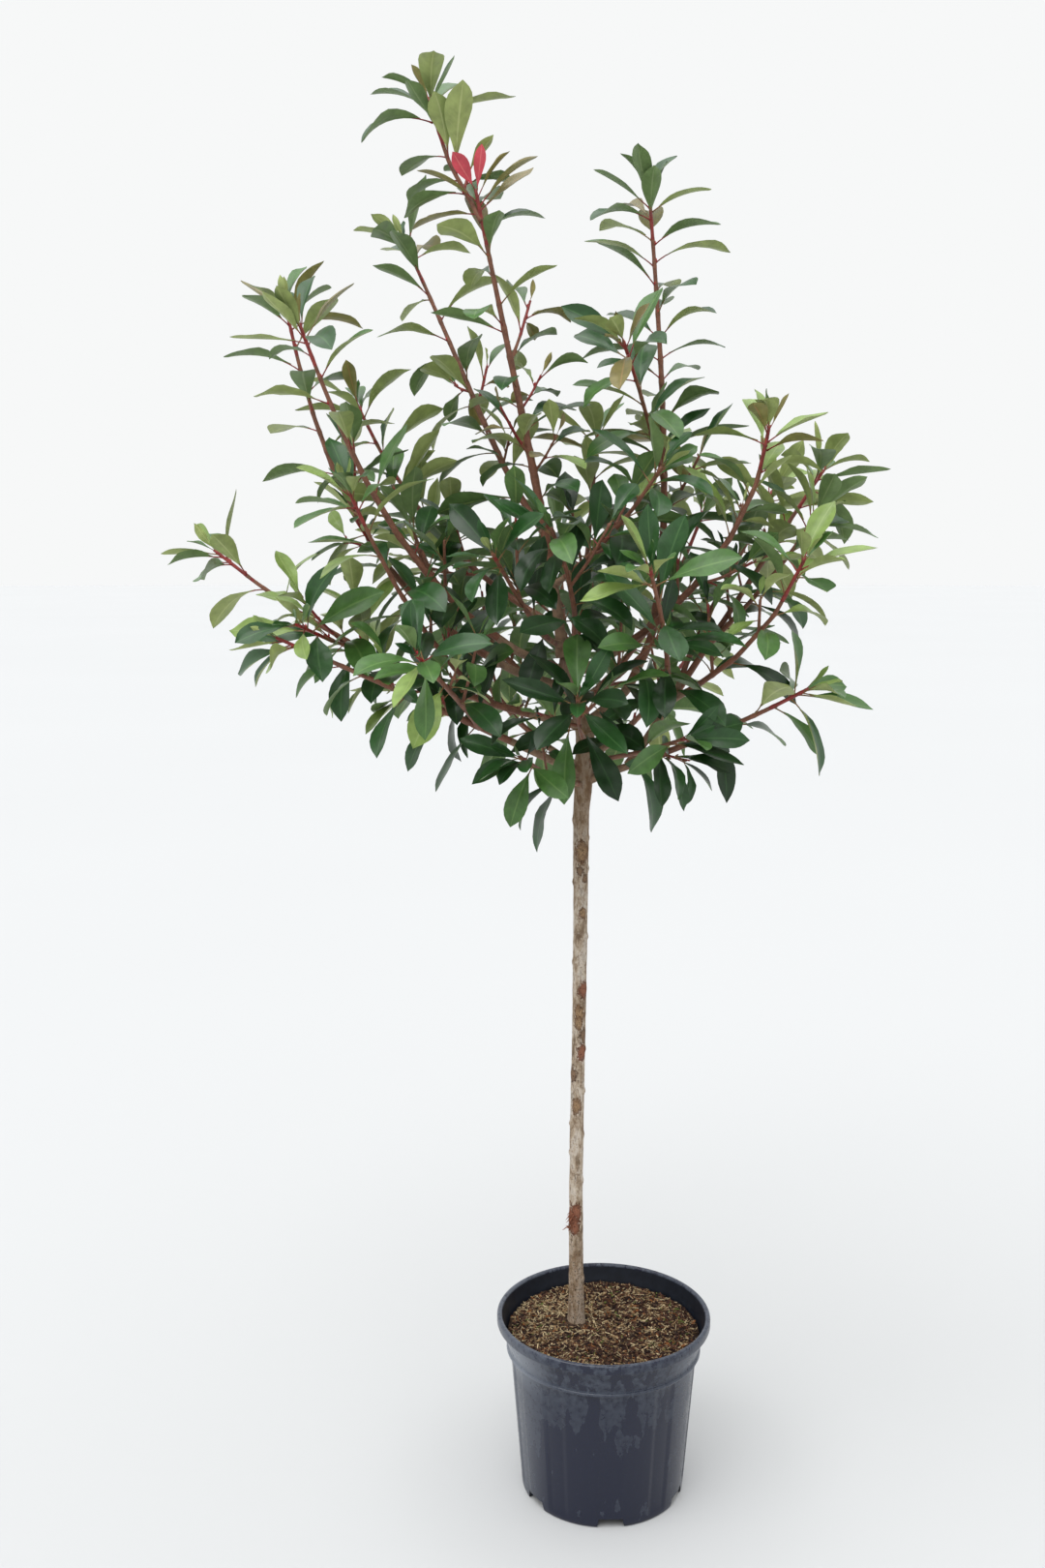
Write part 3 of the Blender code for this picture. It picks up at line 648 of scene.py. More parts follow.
# %% Model one leaf as a pattern
LEAF_ACROSS = 4
LEAF_ROWS = (0.00, 0.11, 0.24, 0.37, 0.50, 0.62, 0.73, 0.82, 0.89, 0.95, 1.00)
LEAF_ALONG = len(LEAF_ROWS) - 1
deselect()
bpy.ops.mesh.primitive_grid_add(x_subdivisions=LEAF_ACROSS, y_subdivisions=LEAF_ALONG, size=2)
pattern = bpy.context.object
bpy.ops.object.mode_set(mode="EDIT")
bpy.ops.mesh.select_all(action="SELECT")
bpy.ops.mesh.extrude_region_move(TRANSFORM_OT_translate={"value": (0, 0, -2)})
bpy.ops.object.mode_set(mode="OBJECT")
for vertex in pattern.data.vertices:
    on_margin = max(abs(vertex.co.x), abs(vertex.co.y)) > 0.999
    vertex.co.z = 0 if on_margin else (1 if vertex.co.z > -1 else -1)
bpy.ops.object.mode_set(mode="EDIT")
bpy.ops.mesh.select_all(action="SELECT")
bpy.ops.mesh.remove_doubles(threshold=0.001)
bpy.ops.mesh.normals_make_consistent(inside=False)
bpy.ops.object.mode_set(mode="OBJECT")
LEAF_PATTERN = np.array([tuple(vertex.co) for vertex in pattern.data.vertices])
even_rows = np.linspace(-1, 1, LEAF_ALONG + 1)
LEAF_PATTERN[:, 1] = np.interp(LEAF_PATTERN[:, 1], even_rows, LEAF_ROWS)
LEAF_QUADS = np.array([list(face.vertices) for face in pattern.data.polygons])
LEAF_IS_TOP = np.array([face.normal.z > 0 for face in pattern.data.polygons])
bpy.data.objects.remove(pattern)
print("faces in one leaf", len(LEAF_QUADS))

# %% [markdown]
# ## Leaf by leaf
# Each leaf of the rule is an arc with a face and a side. The pattern is laid along that arc, given
# the photinia's outline, a fold, a slight wave of the margin, a twist and a sideways curve, each a
# little different, and all leaves are joined from arrays.

# %% Lay the pattern along the arcs
OUTLINE_AT = (0.00, 0.05, 0.11, 0.18, 0.24, 0.37, 0.50, 0.62, 0.73, 0.82, 0.89, 0.95, 1.00)
OUTLINE_HALF = (0.04, 0.08, 0.17, 0.31, 0.45, 0.72, 0.92, 1.00, 0.95, 0.78, 0.53, 0.24, 0.01)
NARROWER = 0.86
BLADE_HALF_THICKNESS = 0.35 * MM
MIDRIB_DEPTH = 0.5 * MM


def arc_frames(leaves, share):
    """Centres, sides and overs at shares of the leaves' arcs: arrays of (leaf, share, 3)."""
    root, along, face = (
        np.array([tuple(getattr(leaf, part)) for leaf in leaves])[:, None]
        for part in ("root", "along", "face")
    )
    length = np.array([leaf.length for leaf in leaves])[:, None, None]
    bend = np.array([leaf.bend for leaf in leaves])[:, None, None]
    angle = bend * share[None, :, None]
    reach = np.sin(angle) / bend * length
    drop = (1 - np.cos(angle)) / bend * length
    centre = root + along * reach - face * drop
    over = face * np.cos(angle) + along * np.sin(angle)
    side = np.broadcast_to(np.cross(face, along), over.shape)
    return centre, side, over


def blades(leaves, chance):
    """Points, faces, top or underside, and leaf coordinates of all the blades."""
    across, share, layer = LEAF_PATTERN.T
    centre, side, over = arc_frames(leaves, PETIOLE + (1 - PETIOLE) * share)
    count = len(leaves)

    def deal(low, high):
        return np.array([chance.uniform(low, high) for _ in range(count)])[:, None]

    width, length, young = (
        np.array([getattr(leaf, part) for leaf in leaves])[:, None]
        for part in ("width", "length", "young")
    )
    half = np.interp(share ** deal(0.84, 1.20), OUTLINE_AT, OUTLINE_HALF) * width / 2 * NARROWER
    x = across * half + deal(-0.07, 0.07) * length * share ** 2
    fold = (deal(0.14, 0.42) + 0.25 * young) * (1 - 0.6 * share ** 3)
    flick = deal(-0.05, 0.15) * length * share ** 3
    wave = np.sin(math.tau * (share * deal(1.2, 2.4) + deal(0, 1))) * deal(0.3, 1.3) * MM
    lift = fold * np.abs(across) ** 1.2 * half + wave * across ** 2
    midrib = np.where((layer < 0) & (np.abs(across) < 0.01), MIDRIB_DEPTH, 0)
    height = lift + layer * BLADE_HALF_THICKNESS - midrib + flick
    twist = deal(-0.45, 0.45) * share
    turned_side = side * np.cos(twist)[..., None] + over * np.sin(twist)[..., None]
    turned_over = over * np.cos(twist)[..., None] - side * np.sin(twist)[..., None]
    points = centre + turned_side * x[..., None] + turned_over * height[..., None]
    steps = (np.arange(count) * len(LEAF_PATTERN))[:, None, None]
    faces = (LEAF_QUADS[None] + steps).reshape(-1, 4)
    if np.dot(np.cross(side[0, 0], over[0, 0]), np.array(leaves[0].along)) > 0:
        faces = faces[:, ::-1]
    uvs = np.tile(np.stack([across / 2 + 0.5, share], 1), (count, 1))
    return points.reshape(-1, 3), faces, np.tile(LEAF_IS_TOP, count), uvs


# %% Tubes from arrays
def tube_arrays(path, radii, sides, relief=None):
    """Points and faces of a closed tube along a path, with a relief added to its radius."""
    path = np.asarray(path, float)
    steps = np.gradient(path, axis=0)
    steps /= np.linalg.norm(steps, axis=1)[:, None]
    first = np.cross(steps[0], (0.31, 0.95, 0.05))
    rows = []
    angles = np.arange(sides) / sides * math.tau
    for spot, (point, along, radius) in enumerate(zip(path, steps, radii)):
        first = first - along * first.dot(along)
        first /= np.linalg.norm(first)
        second = np.cross(along, first)
        ring = np.outer(np.cos(angles), first) + np.outer(np.sin(angles), second)
        sizes = radius if relief is None else radius + relief(point + ring * radius)[:, None]
        rows.append(point + ring * sizes)
    points = np.concatenate(rows + [path[:1], path[-1:]])
    ring = np.arange(sides)
    following = (ring + 1) % sides
    foot = len(points) - 2
    last = (len(path) - 1) * sides
    quad = np.stack([ring, following, following + sides, ring + sides], 1)
    walls = np.concatenate([quad + low for low in range(0, last, sides)])
    foot_fan = np.stack([np.full(sides, foot), following, ring], 1)
    tip_fan = np.stack([np.full(sides, foot + 1), last + ring, last + following], 1)
    return points, walls.tolist() + foot_fan.tolist() + tip_fan.tolist()


def join_arrays(shapes):
    """Joins (points, faces, tone) shapes into one list of points, faces and tones."""
    points, faces, tones = [], [], []
    start = 0
    for shape_points, shape_faces, tone in shapes:
        points.append(shape_points)
        faces += [[corner + start for corner in face] for face in shape_faces]
        tones += list(tone) if np.ndim(tone) else [tone] * len(shape_faces)
        start += len(shape_points)
    return np.concatenate(points), faces, tones


# %% [markdown]
# ## Leaf finish
# Photinia leaves are evergreen, with a thick waxy skin. The upper side is dark green and glossy,
# so it mirrors the pale room in long soft highlights. The underside is matt and yellow-green. A
# pale midrib and faint side veins run in the leaf's own coordinates. Each finish is a plain base
# colour with small changes, and is dealt out leaf by leaf: fresh on the outer sprays, bronze and
# crimson at the tips. In the heart of the crown and low down, leaves get the darkest upper finish
# more often and a darker copy of the underside, which is painted shade.

# %% Leaf finishes
VEIN_COUNT = 9.0
VEIN_SLANT = 2.4
MOTTLE_SIZE = 12 * MM
SINK = 0.5 * MM


def link_finish(tree, shader, colour, rough, heights=None, strength=0, depth=0, invert=False):
    """Links a colour and a roughness to the shader, and a bump where heights are given."""
    tree.links.new(colour, shader.inputs["Base Color"])
    tree.links.new(rough, shader.inputs["Roughness"])
    if heights is not None:
        inputs = {"Height": heights, "Strength": strength, "Distance": depth}
        bump = add_node(tree, "Bump", inputs, invert=invert)
        tree.links.new(bump, shader.inputs["Normal"])


def leaf_finish(name, blade, vein, roughness, vein_strength):
    """A waxy leaf skin: mottled blade colour, pale midrib and side veins, veins sunk by bump."""
    material, tree, shader, place = start_material(
        name, IOR=1.45, Specular_IOR_Level=0.38, Coat_Roughness=0.20, Coat_Weight=0.20
    )
    own = add_node(tree, "TexCoord", out="UV")
    across = add_node(tree, "SeparateXYZ", [own], out="X")
    along = add_node(tree, "SeparateXYZ", [own], out="Y")
    off = add_node(tree, "Math", [across, 0.5], operation="SUBTRACT")
    aside = add_node(tree, "Math", [off], operation="ABSOLUTE")
    midrib = add_node(tree, "MapRange", [aside, 0.018, 0.050, 1.0, 0.0])
    mottle = add_node(tree, "TexNoise", [place, 1 / MOTTLE_SIZE, 3.0])
    slant = add_node(tree, "Math", [aside, -VEIN_SLANT, mottle], operation="MULTIPLY_ADD")
    count = add_node(tree, "Math", [along, VEIN_COUNT, slant], operation="MULTIPLY_ADD")
    wave = add_node(tree, "Math", [count, 0.5], operation="PINGPONG")
    side_veins = add_node(tree, "MapRange", [wave, 0.0, 0.14, 0.16, 0.0])
    lines = add_node(tree, "Math", [midrib, side_veins], operation="MAXIMUM")
    value = add_node(tree, "MapRange", [mottle, 0.3, 0.7, 0.82, 1.18])
    tint = add_node(tree, "HueSaturation", {"Color": blade, "Value": value})
    share = add_node(tree, "Math", [lines, vein_strength], operation="MULTIPLY")
    colour = add_node(tree, "Mix", [share, tint, vein], data_type="RGBA")
    rough = add_node(tree, "MapRange", [mottle, 0.3, 0.7, roughness - 0.05, roughness + 0.07])
    link_finish(tree, shader, colour, rough, lines, 0.16, SINK, invert=True)
    return material


LEAF_FINISHES = [
    # The first finish here and the darker of the undersides go to leaves in the crown's heart:
    # painted shade.
    leaf_finish("waxy_leaf_shade", "#12300f", "#3a5f33", 0.36, 0.36),
    leaf_finish("waxy_leaf_dark", "#244a20", "#527a45", 0.35, 0.38),
    leaf_finish("waxy_leaf_mid", "#446930", "#739352", 0.36, 0.40),
    leaf_finish("waxy_leaf_fresh", "#7d954d", "#9daf70", 0.40, 0.45),
    leaf_finish("waxy_leaf_bronze", "#7a7146", "#a4835c", 0.38, 0.6),
    leaf_finish("waxy_leaf_crimson", "#b83f4b", "#d2746e", 0.38, 0.6),
    leaf_finish("leaf_back_shade", "#55733c", "#89a05c", 0.60, 0.7),
    leaf_finish("leaf_back_sun", "#98a564", "#bcc486", 0.60, 0.7),
    leaf_finish("leaf_back_bronze", "#88824a", "#b08358", 0.55, 0.7),
    leaf_finish("leaf_back_crimson", "#c4525a", "#dc867e", 0.55, 0.8),
    leaf_finish("leaf_back_cool", "#6b8350", "#90a273", 0.55, 0.7),
]
PAINTED_SHADE, DARK, MID, FRESH, BRONZE, CRIMSON = range(6)
BACK_PAINTED_SHADE, BACK_SUN, BACK_BRONZE, BACK_CRIMSON, BACK_COOL = range(6, 11)
print("leaf finishes", len(LEAF_FINISHES))


# %% Deal the colours out by spray
SUNNY = {"right_far", "right_out", "right_behind", "right_big", "left_low", "right_low"}
CROWN_HEART = Vector((-0.03, 0.0, 1.08))
HEART_RADIUS = 0.20
BRONZE_FROM = 1.28
TOP_FROM = 1.38


def tone_of(leaf, shoot, in_tuft, chance):
    """A leaf's upper and lower finish by its age and its shoot, with painted shade in the crown's
    heart.
    """
    draw = chance.random()
    if in_tuft and shoot.name == "leader":
        return (CRIMSON, BACK_CRIMSON) if in_tuft < 3 else (BRONZE, BACK_BRONZE)
    if leaf.root.z > BRONZE_FROM and (in_tuft and draw < 0.24 or leaf.young > 0.5 and draw < 0.12):
        return BRONZE, BACK_BRONZE
    # Leaves in the heart of the crown or low down get darker finishes: painted shade.
    in_painted_shade = (leaf.root - CROWN_HEART).length < HEART_RADIUS or leaf.root.z < 0.98
    if in_painted_shade:
        return (PAINTED_SHADE if draw < 0.48 else DARK if draw < 0.86 else MID), BACK_PAINTED_SHADE
    fresh = 0.16 + 0.16 * leaf.young + (0.34 if shoot.name in SUNNY else 0)
    fresh -= 0.10 if leaf.root.z > TOP_FROM else 0
    if draw < fresh:
        return FRESH, BACK_SUN
    back = BACK_COOL if chance.random() < 0.48 else BACK_SUN
    return (MID if draw < fresh + 0.34 else DARK), back


# %% [markdown]
# ## Young leaves and buds at the tips
# Each shoot of a photinia ends in a tuft: small upright leaves still folded round the bud. They
# are added at every tip, inside the reach of the older leaves, and a small red bud sits in the
# axil of each older leaf.

# %% Young tufts
TUFT_LENGTHS = (0.036, 0.042, 0.066, 0.080, 0.088, 0.094, 0.092)
LEADER_LENGTHS = (0.042, 0.052) + TUFT_LENGTHS[2:]
PAIR_WIDTHS = (0.48, 0.30)
PAIR_SPREADS = (24, 18)
TWIG_TUFT_LENGTHS = (0.028, 0.050)
TUFT_TRIES = 12
TUFT_SPREAD, TUFT_BEND = (9, 68), (14, 56)
TUFT_WIDTHS, TUFT_DEPTH = (0.27, 0.38), (0.001, 0.028)
tuft_chance = random.Random(7)
sprays = []
for mass, shoot, stem, leaves, is_twig in finer:
    tip, along = stem.points[-1], (stem.points[-1] - stem.points[-2]).normalized()
    tuft = []
    turn = tuft_chance.uniform(0, 360)
    at_leader = shoot.name == "leader" and not is_twig
    lengths = TWIG_TUFT_LENGTHS if is_twig else LEADER_LENGTHS if at_leader else TUFT_LENGTHS
    for number, usual in enumerate(lengths):
        turn += TURN_BETWEEN_LEAVES
        age = number / (len(lengths) - 1)
        pair = at_leader and number < 2
        for trial in range(TUFT_TRIES):
            nudge = tuft_chance.uniform(-1, 1) * (10 + 14 * trial)
            turned = outward(along, math.radians(turn + nudge))
            spread = math.radians(between(*TUFT_SPREAD, age) + tuft_chance.uniform(-6, 8))
            if pair:
                turned = Vector((1 if number else -1, -0.35, 0))
                spread = math.radians(PAIR_SPREADS[number])
            elif at_leader and turned.y < -0.25:
                continue
            direction = (along * math.cos(spread) + turned * math.sin(spread)).normalized()
            above = along + Vector((0, -1.2, 0)) * pair
            face = (above - direction * above.dot(direction)).normalized()
            length = usual * tuft_chance.uniform(0.88, 1.12)
            width = length * (PAIR_WIDTHS[number] if pair else between(*TUFT_WIDTHS, age))
            bend = math.radians(between(*TUFT_BEND, age) * tuft_chance.uniform(0.6, 1.3))
            root = tip - along * between(*TUFT_DEPTH, age)
            leaf = Leaf(root, direction, face, length, width, bend, 1.0 - 0.6 * age, 0)
            if age == 0 or pair or fits(leaf, space, mass):
                tuft.append(leaf)
                space.add(leaf_points(leaf), LEAF_FACES, mass)
                break
    sprays.append((shoot, stem, leaves, tuft, is_twig))
all_leaves = []
tones = []
colour_chance = random.Random(11)
for shoot, stem, leaves, tuft, is_twig in sprays:
    for leaf in leaves:
        all_leaves.append(leaf)
        tones.append(tone_of(leaf, shoot, 0, colour_chance))
    for number, leaf in enumerate(tuft):
        all_leaves.append(leaf)
        tones.append(tone_of(leaf, shoot, number + 1 if not is_twig else 4, colour_chance))
print("leaves", len(all_leaves))

# %% Join the blades
points, faces, is_top, uvs = blades(all_leaves, random.Random(3))
tones = np.repeat(np.array(tones), len(LEAF_QUADS), axis=0)
tone = np.where(is_top, tones[:, 0], tones[:, 1])
leaf_blades = new_piece("leaf_blades", points, faces, LEAF_FINISHES, tone, uvs)
leaf_blades.data.set_sharp_from_angle(angle=math.radians(75))
print("leaf_blades", triangles_of(leaf_blades), "triangles")

# %% [markdown]
# ## Stalks and shoots
# A leaf's stalk is crimson and 12 to 15 mm long. The young shoot is crimson too for its last few
# centimetres, then red-brown with pale pores, and grey-brown on the bare boughs. Each shoot is one
# tube from inside its parent to its tip, with a collar at its foot and a slight swelling at each
# leaf. Each stretch of colour is a plain colour of its own, and the stretches are mixed at random
# where they meet.

# %% Shoot finishes
PORE_SIZE = 2.5 * MM
STREAK_SIZE = 8 * MM


def shoot_finish(name, skin, pore, pore_share, roughness):
    """Young bark: a smooth skin with streaks along it and small pale pores."""
    material, tree, shader, place = start_material(name, IOR=1.45, Specular_IOR_Level=0.4)
    pores = add_node(tree, "TexVoronoi", [place, 1 / PORE_SIZE])
    spots = add_node(tree, "MapRange", [pores, 0.12, 0.28, pore_share, 0.0])
    streaks = add_node(tree, "TexNoise", [place, 1 / STREAK_SIZE, 4.0])
    value = add_node(tree, "MapRange", [streaks, 0.3, 0.7, 0.7, 1.3])
    tint = add_node(tree, "HueSaturation", {"Color": skin, "Value": value})
    colour = add_node(tree, "Mix", [spots, tint, pore], data_type="RGBA")
    rough = add_node(tree, "MapRange", [streaks, 0.0, 1.0, roughness - 0.1, roughness + 0.1])
    link_finish(tree, shader, colour, rough, spots, 0.4, 0.3 * MM)
    return material


SHOOT_FINISHES = [
    shoot_finish("shoot_bark_grey_brown", "#856b57", "#a8937c", 0.5, 0.75),
    shoot_finish("shoot_bark_red_brown", "#784e3c", "#a17c68", 0.35, 0.52),
    shoot_finish("shoot_skin_crimson", "#84332f", "#a5645a", 0.2, 0.42),
    shoot_finish("bud_scale_red", "#a32a2c", "#c2605a", 0.2, 0.40),
    shoot_finish("stalk_olive_red", "#7d5f3c", "#8f7a55", 0.2, 0.45),
]
GREY_BROWN, RED_BROWN, RED, BUD, OLIVE = range(5)

# %% Shoots
STEM_STEP = 5 * MM
STEM_SIDES = 10
CRIMSON_REACH = 0.055
SHADE_REACH = 0.27
LOW_UNDER = 1.0
COLLAR = 0.45
COLLAR_REACH = 9 * MM
NODE_SWELL = 0.16
GREY_SHARE = 0.7


def in_the_shade(place):
    """Whether a place lies in the heart of the crown, where shoots and buds don't redden."""
    low = place.z < LOW_UNDER and abs(place.x - CROWN_HEART.x) < SHADE_REACH
    return low or (place - CROWN_HEART).length < SHADE_REACH


def resampled(points, step):
    """Points at even steps along a line, its corners rounded a little."""
    line = np.array([tuple(point) for point in points])
    reach = np.concatenate([[0], np.cumsum(np.linalg.norm(np.diff(line, axis=0), axis=1))])
    count = max(4, int(reach[-1] / step))
    spots = np.linspace(0, reach[-1], count + 1)
    path = np.stack([np.interp(spots, reach, line[:, axis]) for axis in range(3)], 1)
    for _ in range(3):
        path[1:-1] = (path[:-2] + 2 * path[1:-1] + path[2:]) / 4
    return path, spots


def swellings(path, leaves):
    """How much thicker a stem is at each point, from the leaves that stand near it."""
    swell = np.zeros(len(path))
    for leaf in leaves:
        away = np.linalg.norm(path - np.array(leaf.root), axis=1)
        swell = np.maximum(swell, np.exp(-(away / (3 * MM)) ** 2))
    return swell


shapes = []
bark_chance = random.Random(5)
for shoot, stem, leaves, tuft, is_twig in sprays:
    if is_twig:
        path, spots = resampled(stem.points, STEM_STEP)
        radii = np.interp(spots / spots[-1], (0, 0.5, 1), stem.radii)
    else:
        line = list(stem.points)
        if shoot.bare:
            line = list(stretch(shoot, axes[shoot.name], 0.0, shoot.bare).points) + line
        path, spots = resampled(line, STEM_STEP)
        radii = np.array([radius_at(shoot, spot) for spot in spots])
        past_parent = np.maximum(spots - shoot.girth, 0)
        radii = radii * (1 + COLLAR * np.exp(-past_parent / COLLAR_REACH))
    radii = radii * (1 + NODE_SWELL * swellings(path, leaves))
    points, faces = tube_arrays(path, radii, STEM_SIDES)
    left = spots[-1] - np.repeat((spots[:-1] + spots[1:]) / 2, STEM_SIDES)
    jitter = np.repeat([bark_chance.uniform(-12, 12) * MM for _ in spots[:-1]], STEM_SIDES)
    gone = spots[-1] - left
    is_bough = bool(shoot.bare) and not is_twig
    crimson_from = 0 if in_the_shade(stem.points[-1]) else CRIMSON_REACH
    stretch_tone = np.where(left + jitter < crimson_from, RED, RED_BROWN)
    if is_bough:
        stretch_tone = np.where(gone + jitter < shoot.bare * GREY_SHARE, GREY_BROWN, stretch_tone)
    cap_tones = [stretch_tone[end] for end in (0, -1) for _ in range(STEM_SIDES)]
    shapes.append((points, faces, [*stretch_tone, *cap_tones]))
points, faces, tone = join_arrays(shapes)
shoots = new_piece("shoots", points, faces, SHOOT_FINISHES, tone)
print("shoots", triangles_of(shoots), "triangles")

# %% Stalks and buds
STALK_RADII = (1.4 * MM, 0.95 * MM, 0.85 * MM, 0.8 * MM, 0.5 * MM)
STALK_SHARES = np.array((0.0, 0.05, 0.10, 0.17, 0.28))
centres, _, overs = arc_frames(all_leaves, STALK_SHARES)
shapes = []
for leaf, centre, over in zip(all_leaves, centres, overs):
    size = min(1.0, leaf.length / LEAF_LENGTH + 0.15)
    path = centre - over * 0.3 * MM
    redder = 0.10 if in_the_shade(leaf.root) else 0.75
    tone = RED if bark_chance.random() < redder else OLIVE
    shapes.append((*tube_arrays(path, np.array(STALK_RADII) * size, 5), tone))
for shoot, stem, leaves, tuft, is_twig in sprays:
    for leaf in leaves:
        upward = (leaf.along + leaf.face * 0.9).normalized()
        root = np.array(leaf.root + leaf.along * 2.5 * MM)
        path = root + np.outer((0, 1.5 * MM, 3.5 * MM, 5 * MM), np.array(upward))
        tone = RED_BROWN if in_the_shade(leaf.root) else BUD
        shapes.append((*tube_arrays(path, (0.8 * MM, 1.4 * MM, 1.0 * MM, 0.1 * MM), 5), tone))
points, faces, tone = join_arrays(shapes)
leaf_stalks = new_piece("leaf_stalks", points, faces, SHOOT_FINISHES, tone)
print("leaf_stalks", triangles_of(leaf_stalks), "triangles")

# %% [markdown]
# ## Trunk
# The trunk is a bare stem about 17 mm thick, with a flare at the soil, small knots where side
# shoots were pruned, and torn scars in rust, ochre and umber. It is one dense tube along the
# solid's course, and its surface is moved in and out by noise: fine fissures along it, broad
# lumps, and a bump for each knot. Knots and scars have a rise in metres, a bearing in degrees and
# sizes in millimetres.

# %% Trunk shape
TRUNK_STEP = 2.5 * MM
TRUNK_SIDES = 44
FISSURE = 0.28 * MM
LUMP = 0.55 * MM
PLATE = 0.25 * MM
RELIEF_SCALES = ((420, 420, 55), (60, 60, 28), (160, 160, 130))
TOP_TAPER = (0.97, 0.93, 0.86, 0.76, 0.62)
KNOTS = (
    (0.142, -128, 7, 2.6), (0.128, -150, 3, 2.6), (0.150, -88, 5, 1.4), (0.291, -98, 5, 1.5),
    (0.332, -142, 5, 1.8), (0.364, -34, 4, 2.4), (0.405, -86, 6, 1.3), (0.440, -44, 5, 1.8),
    (0.537, -74, 4, 1.4), (0.610, -86, 6, 1.2), (0.229, -168, 3, 2.6), (0.267, -170, 3, 2.4),
    (0.309, -8, 3, 2.4), (0.253, -6, 3, 1.8), (0.192, 4, 4, 2.0), (0.062, -14, 4, 2.2),
    (0.474, -172, 3, 2.2), (0.506, -12, 3, 2.4), (0.574, -168, 3, 2.4), (0.590, -10, 3, 2.2),
    (0.628, -16, 3, 2.0), (0.650, -168, 4, 2.4), (0.170, 96, 4, 2.0), (0.306, 78, 4, 2.0),
    (0.402, 104, 4, 2.2), (0.520, 66, 4, 2.0), (0.603, 112, 4, 2.0), (0.716, -158, 8, 3.2),
    (0.748, -70, 6, 2.0),
)
RUST, OCHRE, UMBER = ("#5f3625", "#8d5c46"), ("#674a34", "#9b7f60"), ("#503c30", "#856b54")
SCARS = (
    (0.146, -122, 13, RUST), (0.134, -104, 9, RUST), (0.154, -84, 8, RUST), (0.291, -98, 8, OCHRE),
    (0.332, -140, 8, UMBER), (0.360, -58, 9, RUST), (0.381, -42, 8, UMBER), (0.410, -86, 9, OCHRE),
    (0.398, -94, 7, OCHRE), (0.440, -52, 9, RUST), (0.537, -74, 6, OCHRE), (0.579, -58, 5, UMBER),
    (0.588, -100, 5, UMBER), (0.612, -84, 11, OCHRE), (0.170, 96, 9, RUST), (0.306, 78, 8, OCHRE),
    (0.402, 104, 9, UMBER), (0.520, 66, 8, RUST),
)


def knot_place(rise, bearing):
    point, along = point_at(course, rise)
    radius = np.interp(rise, [row[0] for row in TRUNK_COURSE], girths)
    return point + heading(bearing, 90) * radius


knot_places = [knot_place(rise, bearing) for rise, bearing, _, _ in KNOTS]


def bark_relief(spots):
    """How far out the bark stands at each of some points on the trunk."""
    out = np.empty(len(spots))
    for number, spot in enumerate(spots):
        fissure, lump, plate = (
            noise.noise(Vector(a * b for a, b in zip(spot, scale))) for scale in RELIEF_SCALES
        )
        out[number] = fissure * FISSURE + lump * LUMP + abs(plate) * PLATE
    for (_, _, wide, high), place in zip(KNOTS, knot_places):
        size, height = wide * MM, high * MM
        away = np.linalg.norm(spots - np.array(place), axis=1)
        near = np.exp(-(away / size) ** 2)
        out += near * height * 0.8 - np.exp(-(away / (size * 0.35)) ** 2) * height * 0.35
    return out


path, spots = resampled(course, TRUNK_STEP)
path[:, 2] = np.maximum(path[:, 2], SOIL_TOP + GAP)
rises = path[:, 2] - path[0, 2]
radii = np.interp(rises, [row[0] for row in TRUNK_COURSE], girths)
radii[-len(TOP_TAPER):] *= TOP_TAPER
points, faces = tube_arrays(path, radii, TRUNK_SIDES, bark_relief)
points[:TRUNK_SIDES, 2] = path[0, 2]

# %% Bark finish
BARK_GRAINS = ((11, 26, 5.0), (3.2, 6, 5.0), (2.2, 15, 5.0), (1.6, 2.4, 3.0))
FOOT_STAIN = (SOIL_TOP + 0.15, SOIL_TOP + 0.08)
CRACK = "#38261c"
SQUEEZE = (1.0, 1.0, 0.62)
trunk_bark, tree, shader, place = start_material(
    "photinia_bark", IOR=1.45, Specular_IOR_Level=0.3
)
grains = []
for across, along, detail in BARK_GRAINS:
    scale = (1 / (across * MM), 1 / (across * MM), 1 / (along * MM))
    way = add_node(tree, "Mapping", {"Vector": place, "Scale": scale})
    grains.append(add_node(tree, "TexNoise", [way, 1.0, detail, 0.62]))
patches, flakes, fissures, crumbs = grains
rise = add_node(tree, "SeparateXYZ", [place], out="Z")


def lay_over(below, colour, *masks):
    """A colour laid over what is below it, by the product of masks that rise from low to high."""
    share = None
    for source, low, high, most in masks:
        mask = add_node(tree, "MapRange", [source, low, high, 0.0, most])
        both = share is not None
        share = add_node(tree, "Math", [share, mask], operation="MULTIPLY") if both else mask
    return add_node(tree, "Mix", [share, below, colour], data_type="RGBA")


bark = add_node(
    tree, "ValToRGB", [patches],
    [(0.32, "#6d5a48"), (0.42, "#8f7d68"), (0.52, "#b2a391"), (0.62, "#beb3a6"), (0.72, "#8b8174")],
)
for colour, *masks in (
    ("#705a45", (flakes, 0.52, 0.62, 0.70)),
    ("#cfc4b5", (flakes, 0.42, 0.34, 0.55)),
    ("#41352b", (fissures, 0.57, 0.68, 0.80)),
    ("#7c6248", (rise, *FOOT_STAIN, 0.45)),
    ("#74543a", (rise, SOIL_TOP + 0.54, SOIL_TOP + 0.70, 0.60)),
    ("#4a3c30", (crumbs, 0.58, 0.70, 0.55)),
    ("#2e2620", (rise, *FOOT_STAIN, 0.85), (crumbs, 0.54, 0.64, 1.0)),
    ("#80665a", (rise, SOIL_TOP + 0.76, SOIL_TOP + 0.83, 0.85)),
):
    bark = lay_over(bark, colour, *masks)
squeezed = add_node(tree, "Mapping", {"Vector": place, "Scale": SQUEEZE})
